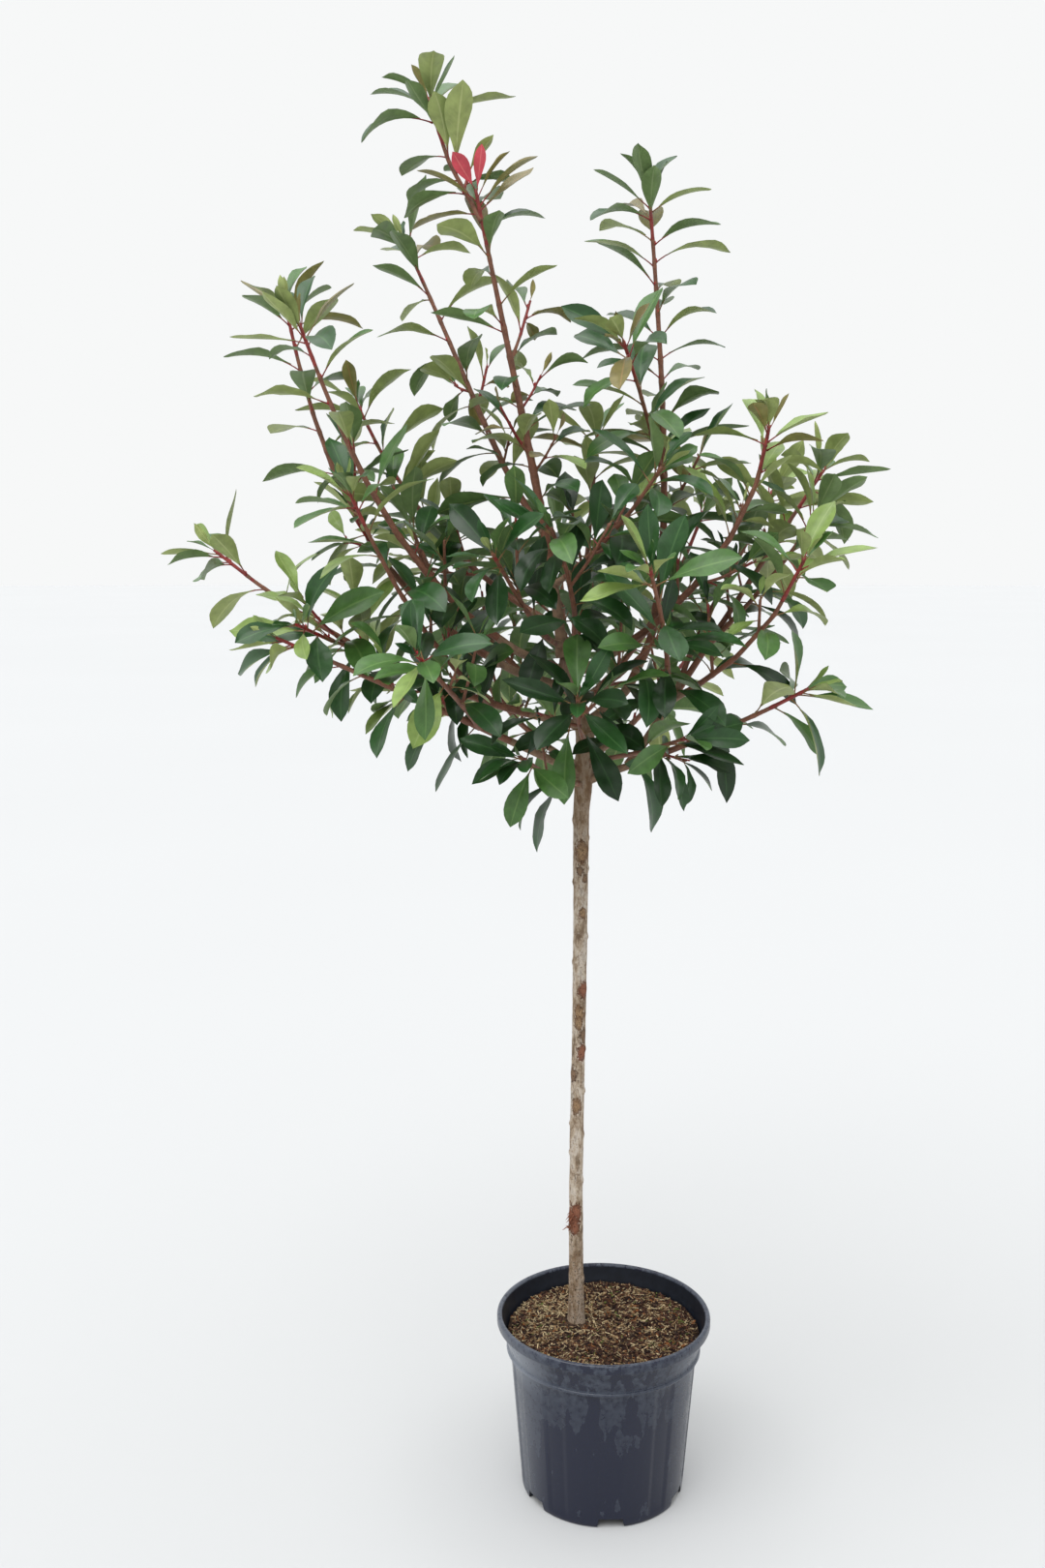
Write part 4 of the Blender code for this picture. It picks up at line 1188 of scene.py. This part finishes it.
for height, bearing, wide, (rim, heart) in SCARS:
    size = wide * MM
    middle = Vector(a * b for a, b in zip(knot_place(height, bearing), SQUEEZE))
    torn = add_node(tree, "VectorMath", [squeezed, middle], operation="DISTANCE")
    for ragged, weight in ((crumbs, 1.5), (flakes, 1.1)):
        torn = add_node(tree, "Math", [ragged, -weight * size, torn], operation="MULTIPLY_ADD")
    bark = lay_over(bark, rim, (torn, -0.42 * size, -0.56 * size, 0.88))
    bark = lay_over(bark, heart, (torn, -0.66 * size, -0.86 * size, 0.80))
    in_scar = (torn, -0.50 * size, -0.60 * size, 0.85)
    bark = lay_over(bark, CRACK, in_scar, (crumbs, 0.54, 0.62, 1.0))
rough = add_node(tree, "MapRange", [patches, 0.0, 1.0, 0.72, 0.95])
relief = add_node(tree, "Math", [fissures, crumbs], operation="ADD")
link_finish(tree, shader, bark, rough, relief, 0.5, 0.8 * MM)

# %% [markdown]
# Round the largest scar the bark has come away in strands. Each is a thin tapered tube that
# leaves the trunk, stands out a few millimetres and hangs.

# %% Frayed bark
FRAY_COUNT = 22
FRAY_RISE = 0.142
fray_chance = random.Random(41)
shapes = [(points, faces, 0)]
for _ in range(FRAY_COUNT):
    rise = FRAY_RISE + fray_chance.uniform(-0.016, 0.014)
    bearing = fray_chance.choice((-158, -146, -134, -122, -112, -100)) + fray_chance.uniform(-8, 8)
    root = knot_place(rise, bearing) - heading(bearing, 90) * 0.8 * MM
    turn = heading(bearing + fray_chance.uniform(-90, 90), 90) * fray_chance.uniform(0.1, 0.9)
    out = heading(bearing, 90) * fray_chance.uniform(0.8, 3.2) * MM
    long = fray_chance.choice((3, 4, 5, 6, 8, 11)) * MM
    fall = Vector((0, 0, fray_chance.choice((-1.0, -0.8, -0.5, 0.3, 0.9))))
    line = [root + out * reach + (fall + turn) * long * share
            for share, reach in ((0, 0), (0.2, 0.7), (0.45, 1.0), (0.75, 1.0), (1.0, 1.4))]
    width = fray_chance.uniform(0.5, 1.0) * MM
    strand = tube_arrays(line, np.array((1.0, 1.0, 0.9, 0.7, 0.25)) * width, 5)
    shapes.append((*strand, 1))


def grainy_finish(name, tones, grain, detail, rough, relief=(), coarse=0.5, **numbers):
    """Two tones mixed by a noise of a grain's size, with the roughness and a bump from it."""
    material, tree, shader, place = start_material(name, **numbers)
    grains = add_node(tree, "TexNoise", [place, 1 / grain, detail, coarse])
    colour = add_node(tree, "ValToRGB", [grains], tones)
    roughness = add_node(tree, "MapRange", [grains, 0.0, 1.0, *rough])
    link_finish(tree, shader, colour, roughness, grains if relief else None, *relief)
    return material


torn_fibre = grainy_finish(
    "torn_bark_fibre", [(0.35, "#5a2f1d"), (0.65, "#96614a")], 2.2 * MM, 4.0, (0.7, 0.95),
    IOR=1.45, Specular_IOR_Level=0.25,
)
points, faces, tone = join_arrays(shapes)
trunk_piece = new_piece("trunk_bark", points, faces, [trunk_bark, torn_fibre], tone)
print("trunk_bark", triangles_of(trunk_piece), "triangles")

# %% [markdown]
# ## Pot
# A nursery pot is thin polypropylene, moulded with a rolled lip, a smooth band under it, a small
# step and a fluted wall that tapers to a foot with drain notches. It could be spun from a
# profile. Here one round face is extruded and scaled, row by row, up the outside, over the lip
# and down the inside to the floor, which leaves it closed. The notches are cut by a Boolean.

# %% Turn the pot
POT_AROUND = 240
POT_HEIGHT = 0.2285
LIP_RADIUS = 0.134
BAND_TOP_RADIUS = 0.1278
BAND_FOOT_RADIUS = 0.1195
BAND_FOOT_HEIGHT = 0.183
WALL_TOP_RADIUS = 0.1170
WALL_FOOT_RADIUS = 0.1022
WALL = 2.2 * MM
LIP_WIDTH = 6.5 * MM


def wall_radius(z):
    return between(WALL_FOOT_RADIUS, WALL_TOP_RADIUS, z / BAND_FOOT_HEIGHT)


def lip_arc(start, end, count):
    """Rows over the rolled top of the lip, at angles from straight out round to the inside."""
    thick = LIP_WIDTH / 2
    rows = []
    for step in range(count + 1):
        angle = math.radians(between(start, end, step / count))
        radius = LIP_RADIUS - thick + thick * math.cos(angle)
        rows.append((radius, POT_HEIGHT - thick + thick * math.sin(angle)))
    return rows


def from_radius(radius, *steps):
    """Rows at steps out from a radius, in millimetres, each with its height."""
    return [(radius + step * MM, z) for step, z in steps]


POT_ROWS = [
    *from_radius(WALL_FOOT_RADIUS, (-0.7, 0.0005), (0, 0.0020)),
    *((wall_radius(z), z)
      for z in (0.006, 0.010, 0.016, 0.060, 0.110, 0.150, 0.168, 0.176, 0.180)),
    *from_radius(WALL_TOP_RADIUS, (0.9, 0.1812)),
    *from_radius(BAND_FOOT_RADIUS, (0.6, 0.1815), (2.0, 0.1822), (2.6, 0.1834), (2.4, 0.1845),
                 (1.8, 0.1854), (0.4, 0.1861), (0.3, 0.1872), (0.8, 0.1900)),
    *from_radius(BAND_TOP_RADIUS, (-1.2, 0.2090), (-0.2, 0.2145), (0.5, 0.2158)),
    *from_radius(LIP_RADIUS, (-1.4, 0.2164), (-0.4, 0.2170), (0, 0.2182), (0, 0.2230)),
    *lip_arc(0, 180, 9),
    (BAND_TOP_RADIUS - WALL, 0.2165), (BAND_FOOT_RADIUS - WALL + 0.5 * MM, 0.186),
    (WALL_TOP_RADIUS - WALL, 0.1805), (wall_radius(0.01) - WALL, 0.006),
    (wall_radius(0.0) - WALL - 3 * MM, 0.0025),
]
foot_radius = WALL_FOOT_RADIUS - 2.2 * MM
deselect()
bpy.ops.mesh.primitive_circle_add(vertices=POT_AROUND, radius=foot_radius, fill_type="NGON")
pot = bpy.context.object
pot.name = "pot_shell"
bpy.ops.object.mode_set(mode="EDIT")
bpy.ops.mesh.select_all(action="SELECT")
last_radius, last_z = foot_radius, 0.0
for radius, z in POT_ROWS:
    bpy.ops.mesh.extrude_region_move(TRANSFORM_OT_translate={"value": (0, 0, z - last_z)})
    grow = radius / last_radius
    bpy.ops.transform.resize(value=(grow, grow, 1), center_override=(0, 0, z))
    last_radius, last_z = radius, z
bpy.ops.mesh.select_all(action="SELECT")
bpy.ops.mesh.normals_make_consistent(inside=False)
bpy.ops.object.mode_set(mode="OBJECT")
print("pot rows", len(POT_ROWS), "height", max(v.co.z for v in pot.data.vertices))

# %% [markdown]
# Ten shallow upright flutes stiffen the wall, with a broad panel between each two. They are
# pressed in by moving the wall's points, crisp at their sides and fading out at top and foot.

# %% Press the flutes
FLUTE_COUNT = 10
FLUTE_BEARING = -88.5
FLUTE_DEPTH = 1.4 * MM
FLUTE_HALF = 6.8
for vertex in pot.data.vertices:
    x, y, z = vertex.co
    radius = math.hypot(x, y)
    if z < 0.004 or z > 0.1800 or radius < wall_radius(z) - 0.8 * MM:
        continue
    fade = min(1.0, (z - 0.004) / 0.010, (0.181 - z) / 0.006)
    spacing = 360 / FLUTE_COUNT
    away = (math.degrees(math.atan2(y, x)) - FLUTE_BEARING + spacing / 2) % spacing - spacing / 2
    if abs(away) < FLUTE_HALF:
        scale = 1 - FLUTE_DEPTH * max(0.0, fade) / radius
        vertex.co.x *= scale
        vertex.co.y *= scale

# %% Cut the drain notches
SLOT_COUNT = 6
SLOT_BEARING = -87.0
SLOT_WIDTH = 34 * MM
SLOT_HEIGHT = 11 * MM
SLOT_DEPTH = 18 * MM
SLOT_LIFT = 0.5 * MM
cutters = []
for number in range(SLOT_COUNT):
    bearing = math.radians(SLOT_BEARING + number * 360 / SLOT_COUNT)
    middle = WALL_FOOT_RADIUS - SLOT_DEPTH / 2 + 5 * MM
    deselect()
    bpy.ops.mesh.primitive_cube_add(
        size=1,
        location=(middle * math.cos(bearing), middle * math.sin(bearing), SLOT_LIFT),
        rotation=(0, 0, bearing),
        scale=(SLOT_DEPTH + 10 * MM, SLOT_WIDTH, 2 * (SLOT_HEIGHT - SLOT_LIFT)),
    )
    cutter = bpy.context.object
    bpy.ops.object.transform_apply(location=False, rotation=False, scale=True)
    for vertex in cutter.data.vertices:
        vertex.co.y *= 0.86 if vertex.co.z > 0 else 1.1
    cutters.append(cutter)
deselect()
for cutter in cutters:
    cutter.select_set(True)
bpy.context.view_layer.objects.active = cutters[0]
bpy.ops.object.join()
cutter = bpy.context.object
deselect()
pot.select_set(True)
bpy.context.view_layer.objects.active = pot
notches = pot.modifiers.new("notches", "BOOLEAN")
notches.operation = "DIFFERENCE"
notches.object = cutter
notches.solver = "EXACT"
bpy.ops.object.modifier_apply(modifier="notches")
bpy.data.objects.remove(cutter)
bpy.ops.object.shade_smooth_by_angle(angle=math.radians(32))
print("pot_shell", triangles_of(pot), "triangles")

# %% [markdown]
# ## Pot finish
# Moulded polypropylene, coloured slate black, with the slight gloss of the mould. Hard water dries
# on it as a dull grey film, which runs down in broad tongues with sharp wet edges and blooms paler
# in blotches on the band; on the two sides, most of all the left, it reaches lower. A pale ragged
# line along the bead at the band's foot is a painted highlight, and a pale grey over both sides is
# a painted sheen. The film's lower edge is a height that a noise changes.

# %% Polypropylene
BEAD_HEIGHT = 0.1852
NONE, SOME, MOST = ((grey, grey, grey, 1.0) for grey in (0.0, 0.34, 0.82))
pot_plastic, tree, shader, place = start_material(
    "moulded_polypropylene", IOR=1.49, Specular_IOR_Level=0.5
)
sideways = add_node(tree, "SeparateXYZ", [place], out="X")
height = add_node(tree, "SeparateXYZ", [place], out="Z")
tongue_scale = (1 / (15 * MM), 1 / (15 * MM), 1 / (48 * MM))
tongue_way = add_node(tree, "Mapping", {"Vector": place, "Scale": tongue_scale})
tongues = add_node(tree, "TexNoise", [tongue_way, 1.0, 2.0])
ragged = add_node(tree, "TexNoise", [place, 1 / (7 * MM), 4.0])
across = add_node(tree, "MapRange", [sideways, -0.13, 0.13])
# Both sides, most of all the left, carry the film lower and also a painted sheen.
sides_film_and_sheen = add_node(
    tree, "ValToRGB", [across], [(0.09, MOST), (0.24, NONE), (0.78, NONE), (0.95, SOME)]
)
on_band = add_node(tree, "MapRange", [height, 0.155, 0.185, 0.25, 1.0])
low_down = add_node(tree, "MapRange", [height, 0.085, 0.165, -0.17, 0.07])
spread = add_node(tree, "Math", [sides_film_and_sheen, 0.45, low_down], operation="MULTIPLY_ADD")
spread = add_node(tree, "Math", [ragged, 0.16, spread], operation="MULTIPLY_ADD")
spread = add_node(tree, "Math", [spread, tongues], operation="ADD")
film = add_node(tree, "MapRange", [spread, 0.575, 0.590])
patchy = add_node(tree, "MapRange", [ragged, 0.36, 0.54, 0.35, 1.0])
dull = add_node(tree, "Math", [film, patchy], operation="MULTIPLY")
specks = add_node(tree, "TexNoise", [place, 1 / (1.8 * MM), 3.0])
speck_marks = add_node(tree, "MapRange", [specks, 0.68, 0.74, 0.0, 0.8])
marks = add_node(tree, "Math", [dull, speck_marks], operation="MAXIMUM")
film_tone = add_node(tree, "Mix", [marks, "#10162c", "#262c3b"], data_type="RGBA")
blotches = add_node(tree, "TexNoise", [place, 1 / (7 * MM), 6.0, 0.7])
bloom = add_node(tree, "MapRange", [blotches, 0.46, 0.66, 0.0, 0.85])
for limit in (on_band, film):
    bloom = add_node(tree, "Math", [bloom, limit], operation="MULTIPLY")
# A pale ragged line along the bead at the band's foot is a painted highlight; it shares its pale
# grey with the film's blooms on the band.
near_bead = add_node(tree, "Math", [height, BEAD_HEIGHT, 2 * MM], operation="COMPARE")
bead_painted_highlight = add_node(tree, "Math", [near_bead, ragged], operation="MULTIPLY")
pale = add_node(tree, "Math", [bloom, bead_painted_highlight], operation="MAXIMUM")
bloom_and_bead_highlight = add_node(tree, "Mix", [pale, film_tone, "#444b58"], data_type="RGBA")
# A pale grey over both sides, most on the left and strongest on the band, is a painted sheen.
side_painted_sheen = add_node(tree, "MapRange", [height, 0.210, 0.218, 1.0, 0.25])
for limit in (on_band, sides_film_and_sheen):
    side_painted_sheen = add_node(tree, "Math", [side_painted_sheen, limit], operation="MULTIPLY")
colour = add_node(tree, "Mix", [side_painted_sheen, bloom_and_bead_highlight, "#7f858f"], data_type="RGBA")
rough = add_node(tree, "MapRange", [marks, 0.0, 1.0, 0.20, 0.36])
grain = add_node(tree, "TexNoise", [place, 1 / (1.2 * MM), 2.0])
link_finish(tree, shader, colour, rough, grain, 0.06, 0.2 * MM)
pot.data.materials.append(pot_plastic)

# %% The clean inside of the pot
pot_inside = grainy_finish(
    "polypropylene_inside", [(0.35, "#0d121c"), (0.65, "#131924")], 9 * MM, 3.0, (0.34, 0.50),
    IOR=1.49, Specular_IOR_Level=0.4,
)
pot.data.materials.append(pot_inside)
for face in pot.data.polygons:
    x, y, z = face.center
    faces_in = face.normal.x * x + face.normal.y * y < 0
    on_wall = math.hypot(x, y) > WALL_FOOT_RADIUS - 5 * MM
    if faces_in and on_wall and 0.004 < z < POT_HEIGHT - 4 * MM:
        face.material_index = 1

# %% [markdown]
# ## Compost
# The pot is filled with shredded bark and wood fibre. The packed soil solid stays and gets a
# compost finish. Over it lies a lumpy crust, and on that some thousands of splinters in the few
# colours the bark really has: straw, tan, orange-brown, dark purple-brown and a little moss.

# %% Compost finishes
CHIP_COLOURS = {
    "bark_splinter_straw": "#c9b48e", "bark_splinter_tan": "#8f7454",
    "bark_splinter_orange": "#80502d", "bark_splinter_dark": "#291a17",
    "bark_splinter_brown": "#56392c", "moss_scrap": "#5f6b33",
}


def compost_finish(name, low, high, grain_size):
    """Damp shredded bark: two tones mixed by noise, very rough."""
    return grainy_finish(
        name, [(0.36, low), (0.64, high)], grain_size, 6.0, (0.75, 1.0), (0.7, 1.5 * MM), 0.65,
        IOR=1.4, Specular_IOR_Level=0.25,
    )


def darker(code, share):
    return "#" + "".join("%02x" % int(int(code[i:i + 2], 16) * share) for i in (1, 3, 5))


compost = compost_finish("shredded_bark_compost", "#19110f", "#4d3a2d", 4 * MM)
chip_finishes = [
    compost_finish(name, darker(code, 0.72), code, 3 * MM) for name, code in CHIP_COLOURS.items()
]
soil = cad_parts["soil"]
soil.data.materials.clear()
soil.data.materials.append(compost)

# %% Crust
CRUST_RADIUS = 0.1203
FLAT_RADIUS = 0.075
EDGE_DROP = 4 * MM
CRUST_LUMPS = ((45, 0.3, 1.9), (150, 1.7, 1.4), (420, 4.1, 0.9))


def soil_height(x, y):
    """The top of the solid soil at a place: flat in the middle, then falling to the wall."""
    radius = math.hypot(x, y)
    return SOIL_TOP - EDGE_DROP * max(0.0, radius - FLAT_RADIUS) / (0.1214 - FLAT_RADIUS)


def crust_height(x, y):
    """The crust's top: lumps of three sizes, a heap at the left and a rise to the back, in mm."""
    rise = 2.6
    for scale, layer, most in CRUST_LUMPS:
        rise += most * noise.noise(Vector((x * scale, y * scale, layer)))
    rise += 6.5 * math.exp(-((x + 0.060) ** 2 + (y - 0.030) ** 2) / 0.034 ** 2)
    rise += 3.5 * (max(0.0, y) / CRUST_RADIUS)
    return soil_height(x, y) + rise * MM


deselect()
bpy.ops.mesh.primitive_circle_add(
    vertices=72, radius=CRUST_RADIUS, fill_type="TRIFAN", location=(0, 0, SOIL_TOP)
)
crust = bpy.context.object
crust.name = "compost_crust"
bpy.ops.object.transform_apply(location=True)
bpy.ops.object.mode_set(mode="EDIT")
bpy.ops.mesh.select_all(action="SELECT")
bpy.ops.mesh.subdivide(number_cuts=15)
bpy.ops.mesh.select_all(action="SELECT")
bpy.ops.mesh.extrude_region_move(TRANSFORM_OT_translate={"value": (0, 0, -6 * MM)})
bpy.ops.mesh.select_all(action="SELECT")
bpy.ops.mesh.normals_make_consistent(inside=False)
bpy.ops.object.mode_set(mode="OBJECT")
for vertex in crust.data.vertices:
    if vertex.co.z > SOIL_TOP - 3 * MM:
        vertex.co.z = crust_height(vertex.co.x, vertex.co.y)
crust.data.shade_smooth()
crust.data.materials.append(compost)
print("compost_crust", triangles_of(crust), "triangles")

# %% Splinters
CHIP_COUNT = 7400
STRAW_SIZES = ((4, 5, 6, 7, 9, 13), (0.5, 0.6, 0.8, 1.0, 1.5))
CHIP_SIZES = ((2.5, 3.5, 4.5, 6, 7, 10), (0.8, 1.1, 1.5, 2.1, 2.8))
CHIP_BOX = np.array(
    [(x, y, z) for x in (-0.5, 0.5) for y in (-0.5, 0.5) for z in (-0.5, 0.5)]
)
CHIP_FACES = [(0, 1, 3, 2), (4, 6, 7, 5), (0, 4, 5, 1), (2, 3, 7, 6), (0, 2, 6, 4), (1, 5, 7, 3)]
chip_chance = random.Random(23)
shapes = []
while len(shapes) < CHIP_COUNT:
    radius = (CRUST_RADIUS - 3 * MM) * math.sqrt(chip_chance.random())
    bearing = chip_chance.uniform(0, math.tau)
    x, y = radius * math.cos(bearing), radius * math.sin(bearing)
    if math.hypot(x - course[0].x, y - course[0].y) < 15 * MM:
        continue
    strawy = math.exp(-((x + 0.050) ** 2 + (y - 0.022) ** 2) / 0.045 ** 2)
    patch = noise.noise(Vector((x * 38, y * 38, 7.7)))
    strawy = min(1.0, strawy + max(0.0, patch) * 0.9)
    weights = (11 + 34 * strawy, 18 + 10 * strawy, 5, 32 - 22 * strawy, 34 - 18 * strawy, 2)
    kind = chip_chance.choices(range(6), weights)[0]
    lengths, widths = STRAW_SIZES if kind == 0 else CHIP_SIZES
    long = chip_chance.choice(lengths) * chip_chance.uniform(0.8, 1.2) * MM
    wide = min(long * 0.6, chip_chance.choice(widths) * MM)
    long = min(long, 2 * (CRUST_RADIUS - radius))
    wide = min(wide, long)
    thick = chip_chance.uniform(0.4, 1.1) * MM
    tilt = chip_chance.gauss(0, 0.30)
    roll = chip_chance.uniform(-0.5, 0.5)
    turn = chip_chance.uniform(0, math.tau)
    corners = CHIP_BOX * (long, wide, thick)
    corners[:, 1] *= np.where(corners[:, 0] > 0, chip_chance.uniform(0.3, 0.8), 1.0)
    corners[:, 2] += np.where(corners[:, 0] > 0, 1, -1) * math.sin(tilt) * long / 2
    corners[:, 2] += corners[:, 1] * math.sin(roll)
    flat = corners[:, :2] @ np.array([[math.cos(turn), math.sin(turn)],
                                      [-math.sin(turn), math.cos(turn)]])
    z = crust_height(x, y) + thick * chip_chance.uniform(0.1, 1.4)
    spot = np.column_stack([flat + (x, y), corners[:, 2] + z])
    shapes.append((spot, CHIP_FACES, kind))
points, faces, tone = join_arrays(shapes)
chips = new_piece("bark_splinters", points, faces, chip_finishes, tone)
chips.data.set_sharp_from_angle(angle=math.radians(30))
print("bark_splinters", triangles_of(chips), "triangles")

# %% [markdown]
# ## What rides where
# Everything is grown or filled into the pot, so every piece rides on "root". Each piece is listed
# with the solids it stands for, which are hidden, and the name of a material slot.

# %% Ride and replace
boughs = [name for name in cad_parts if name.startswith("bough_")]
foliage = [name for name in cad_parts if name.startswith("foliage_")]
for piece, slot, nodes in (
    (pot, "dark_plastic", ["pot"]),
    (crust, "bark_compost", []),
    (chips, "bark_compost", []),
    (trunk_piece, "grey_bark", ["trunk"]),
    (shoots, "brown_bark", boughs),
    (leaf_stalks, "brown_bark", []),
    (leaf_blades, "leaf_green", foliage),
):
    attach(piece, "root")
    if nodes:
        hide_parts(*nodes)
print("replaced", len(boughs), "boughs and", len(foliage), "masses")

# %% [markdown]
# ## Floor and light
# The studio is pale all round: a matt off-white floor, a pale world that dims above the walls and
# is brightest overhead, and one soft sun high on the left in front. So leaves show long soft
# highlights, the heart of the crown stays dark, and the shadow under the pot stays faint.

# %% Floor
FLOOR_REACH = 60
deselect()
bpy.ops.mesh.primitive_circle_add(
    vertices=96, radius=FLOOR_REACH, fill_type="NGON", location=(0, 0, -0.5 * MM)
)
floor = bpy.context.object
floor.name = "studio_floor"
floor_paint, tree, shader, place = start_material(
    "matt_floor_paint", IOR=1.4, Specular_IOR_Level=0.1, Roughness=0.9
)
cloud = add_node(tree, "TexNoise", [place, 0.3, 2.0])
colour = add_node(tree, "ValToRGB", [cloud], [(0.2, "#c0c1c2"), (0.8, "#c2c3c4")])
tree.links.new(colour, shader.inputs["Base Color"])
floor.data.materials.append(floor_paint)

# %% World and lights
ROOM_COLOUR = "#f7f8f8"
CEILING = 2.2
ROOM_LEVELS = [
    (share, (value / CEILING,) * 3 + (1.0,))
    for share, value in ((0.34, 1.0), (0.44, 0.62), (0.60, 0.75), (0.85, CEILING))
]
KEY_PLACE, KEY_AIM = (-1.0, -1.3, 3.2), (0, 0, 0.6)
KEY_STRENGTH = 1.35
KEY_SOFTNESS = 50
scene = bpy.context.scene
world = bpy.data.worlds.new("pale_room")
world.use_nodes = True
background = world.node_tree.nodes["Background"]
background.inputs["Color"].default_value = paint(ROOM_COLOUR)
sky = add_node(world.node_tree, "TexCoord", out="Generated")
up = add_node(world.node_tree, "SeparateXYZ", [sky], out="Z")
strength = add_node(world.node_tree, "ValToRGB", [up], ROOM_LEVELS)
level = add_node(world.node_tree, "Math", [strength, CEILING], operation="MULTIPLY")
world.node_tree.links.new(level, background.inputs["Strength"])
scene.world = world
scene.view_settings.view_transform = "Standard"


def add_light(name, kind, place, aim, power, **settings):
    """A light at a place, turned to its aim."""
    lamp = bpy.data.objects.new(name, bpy.data.lights.new(name, kind))
    lamp.data.energy = power
    for setting, value in settings.items():
        setattr(lamp.data, setting, value)
    lamp.location = place
    lamp.rotation_euler = (Vector(aim) - Vector(place)).to_track_quat("-Z", "Y").to_euler()
    lamp.visible_camera = False
    scene.collection.objects.link(lamp)


add_light("key_light", "SUN", KEY_PLACE, KEY_AIM, KEY_STRENGTH,
          angle=math.radians(KEY_SOFTNESS))
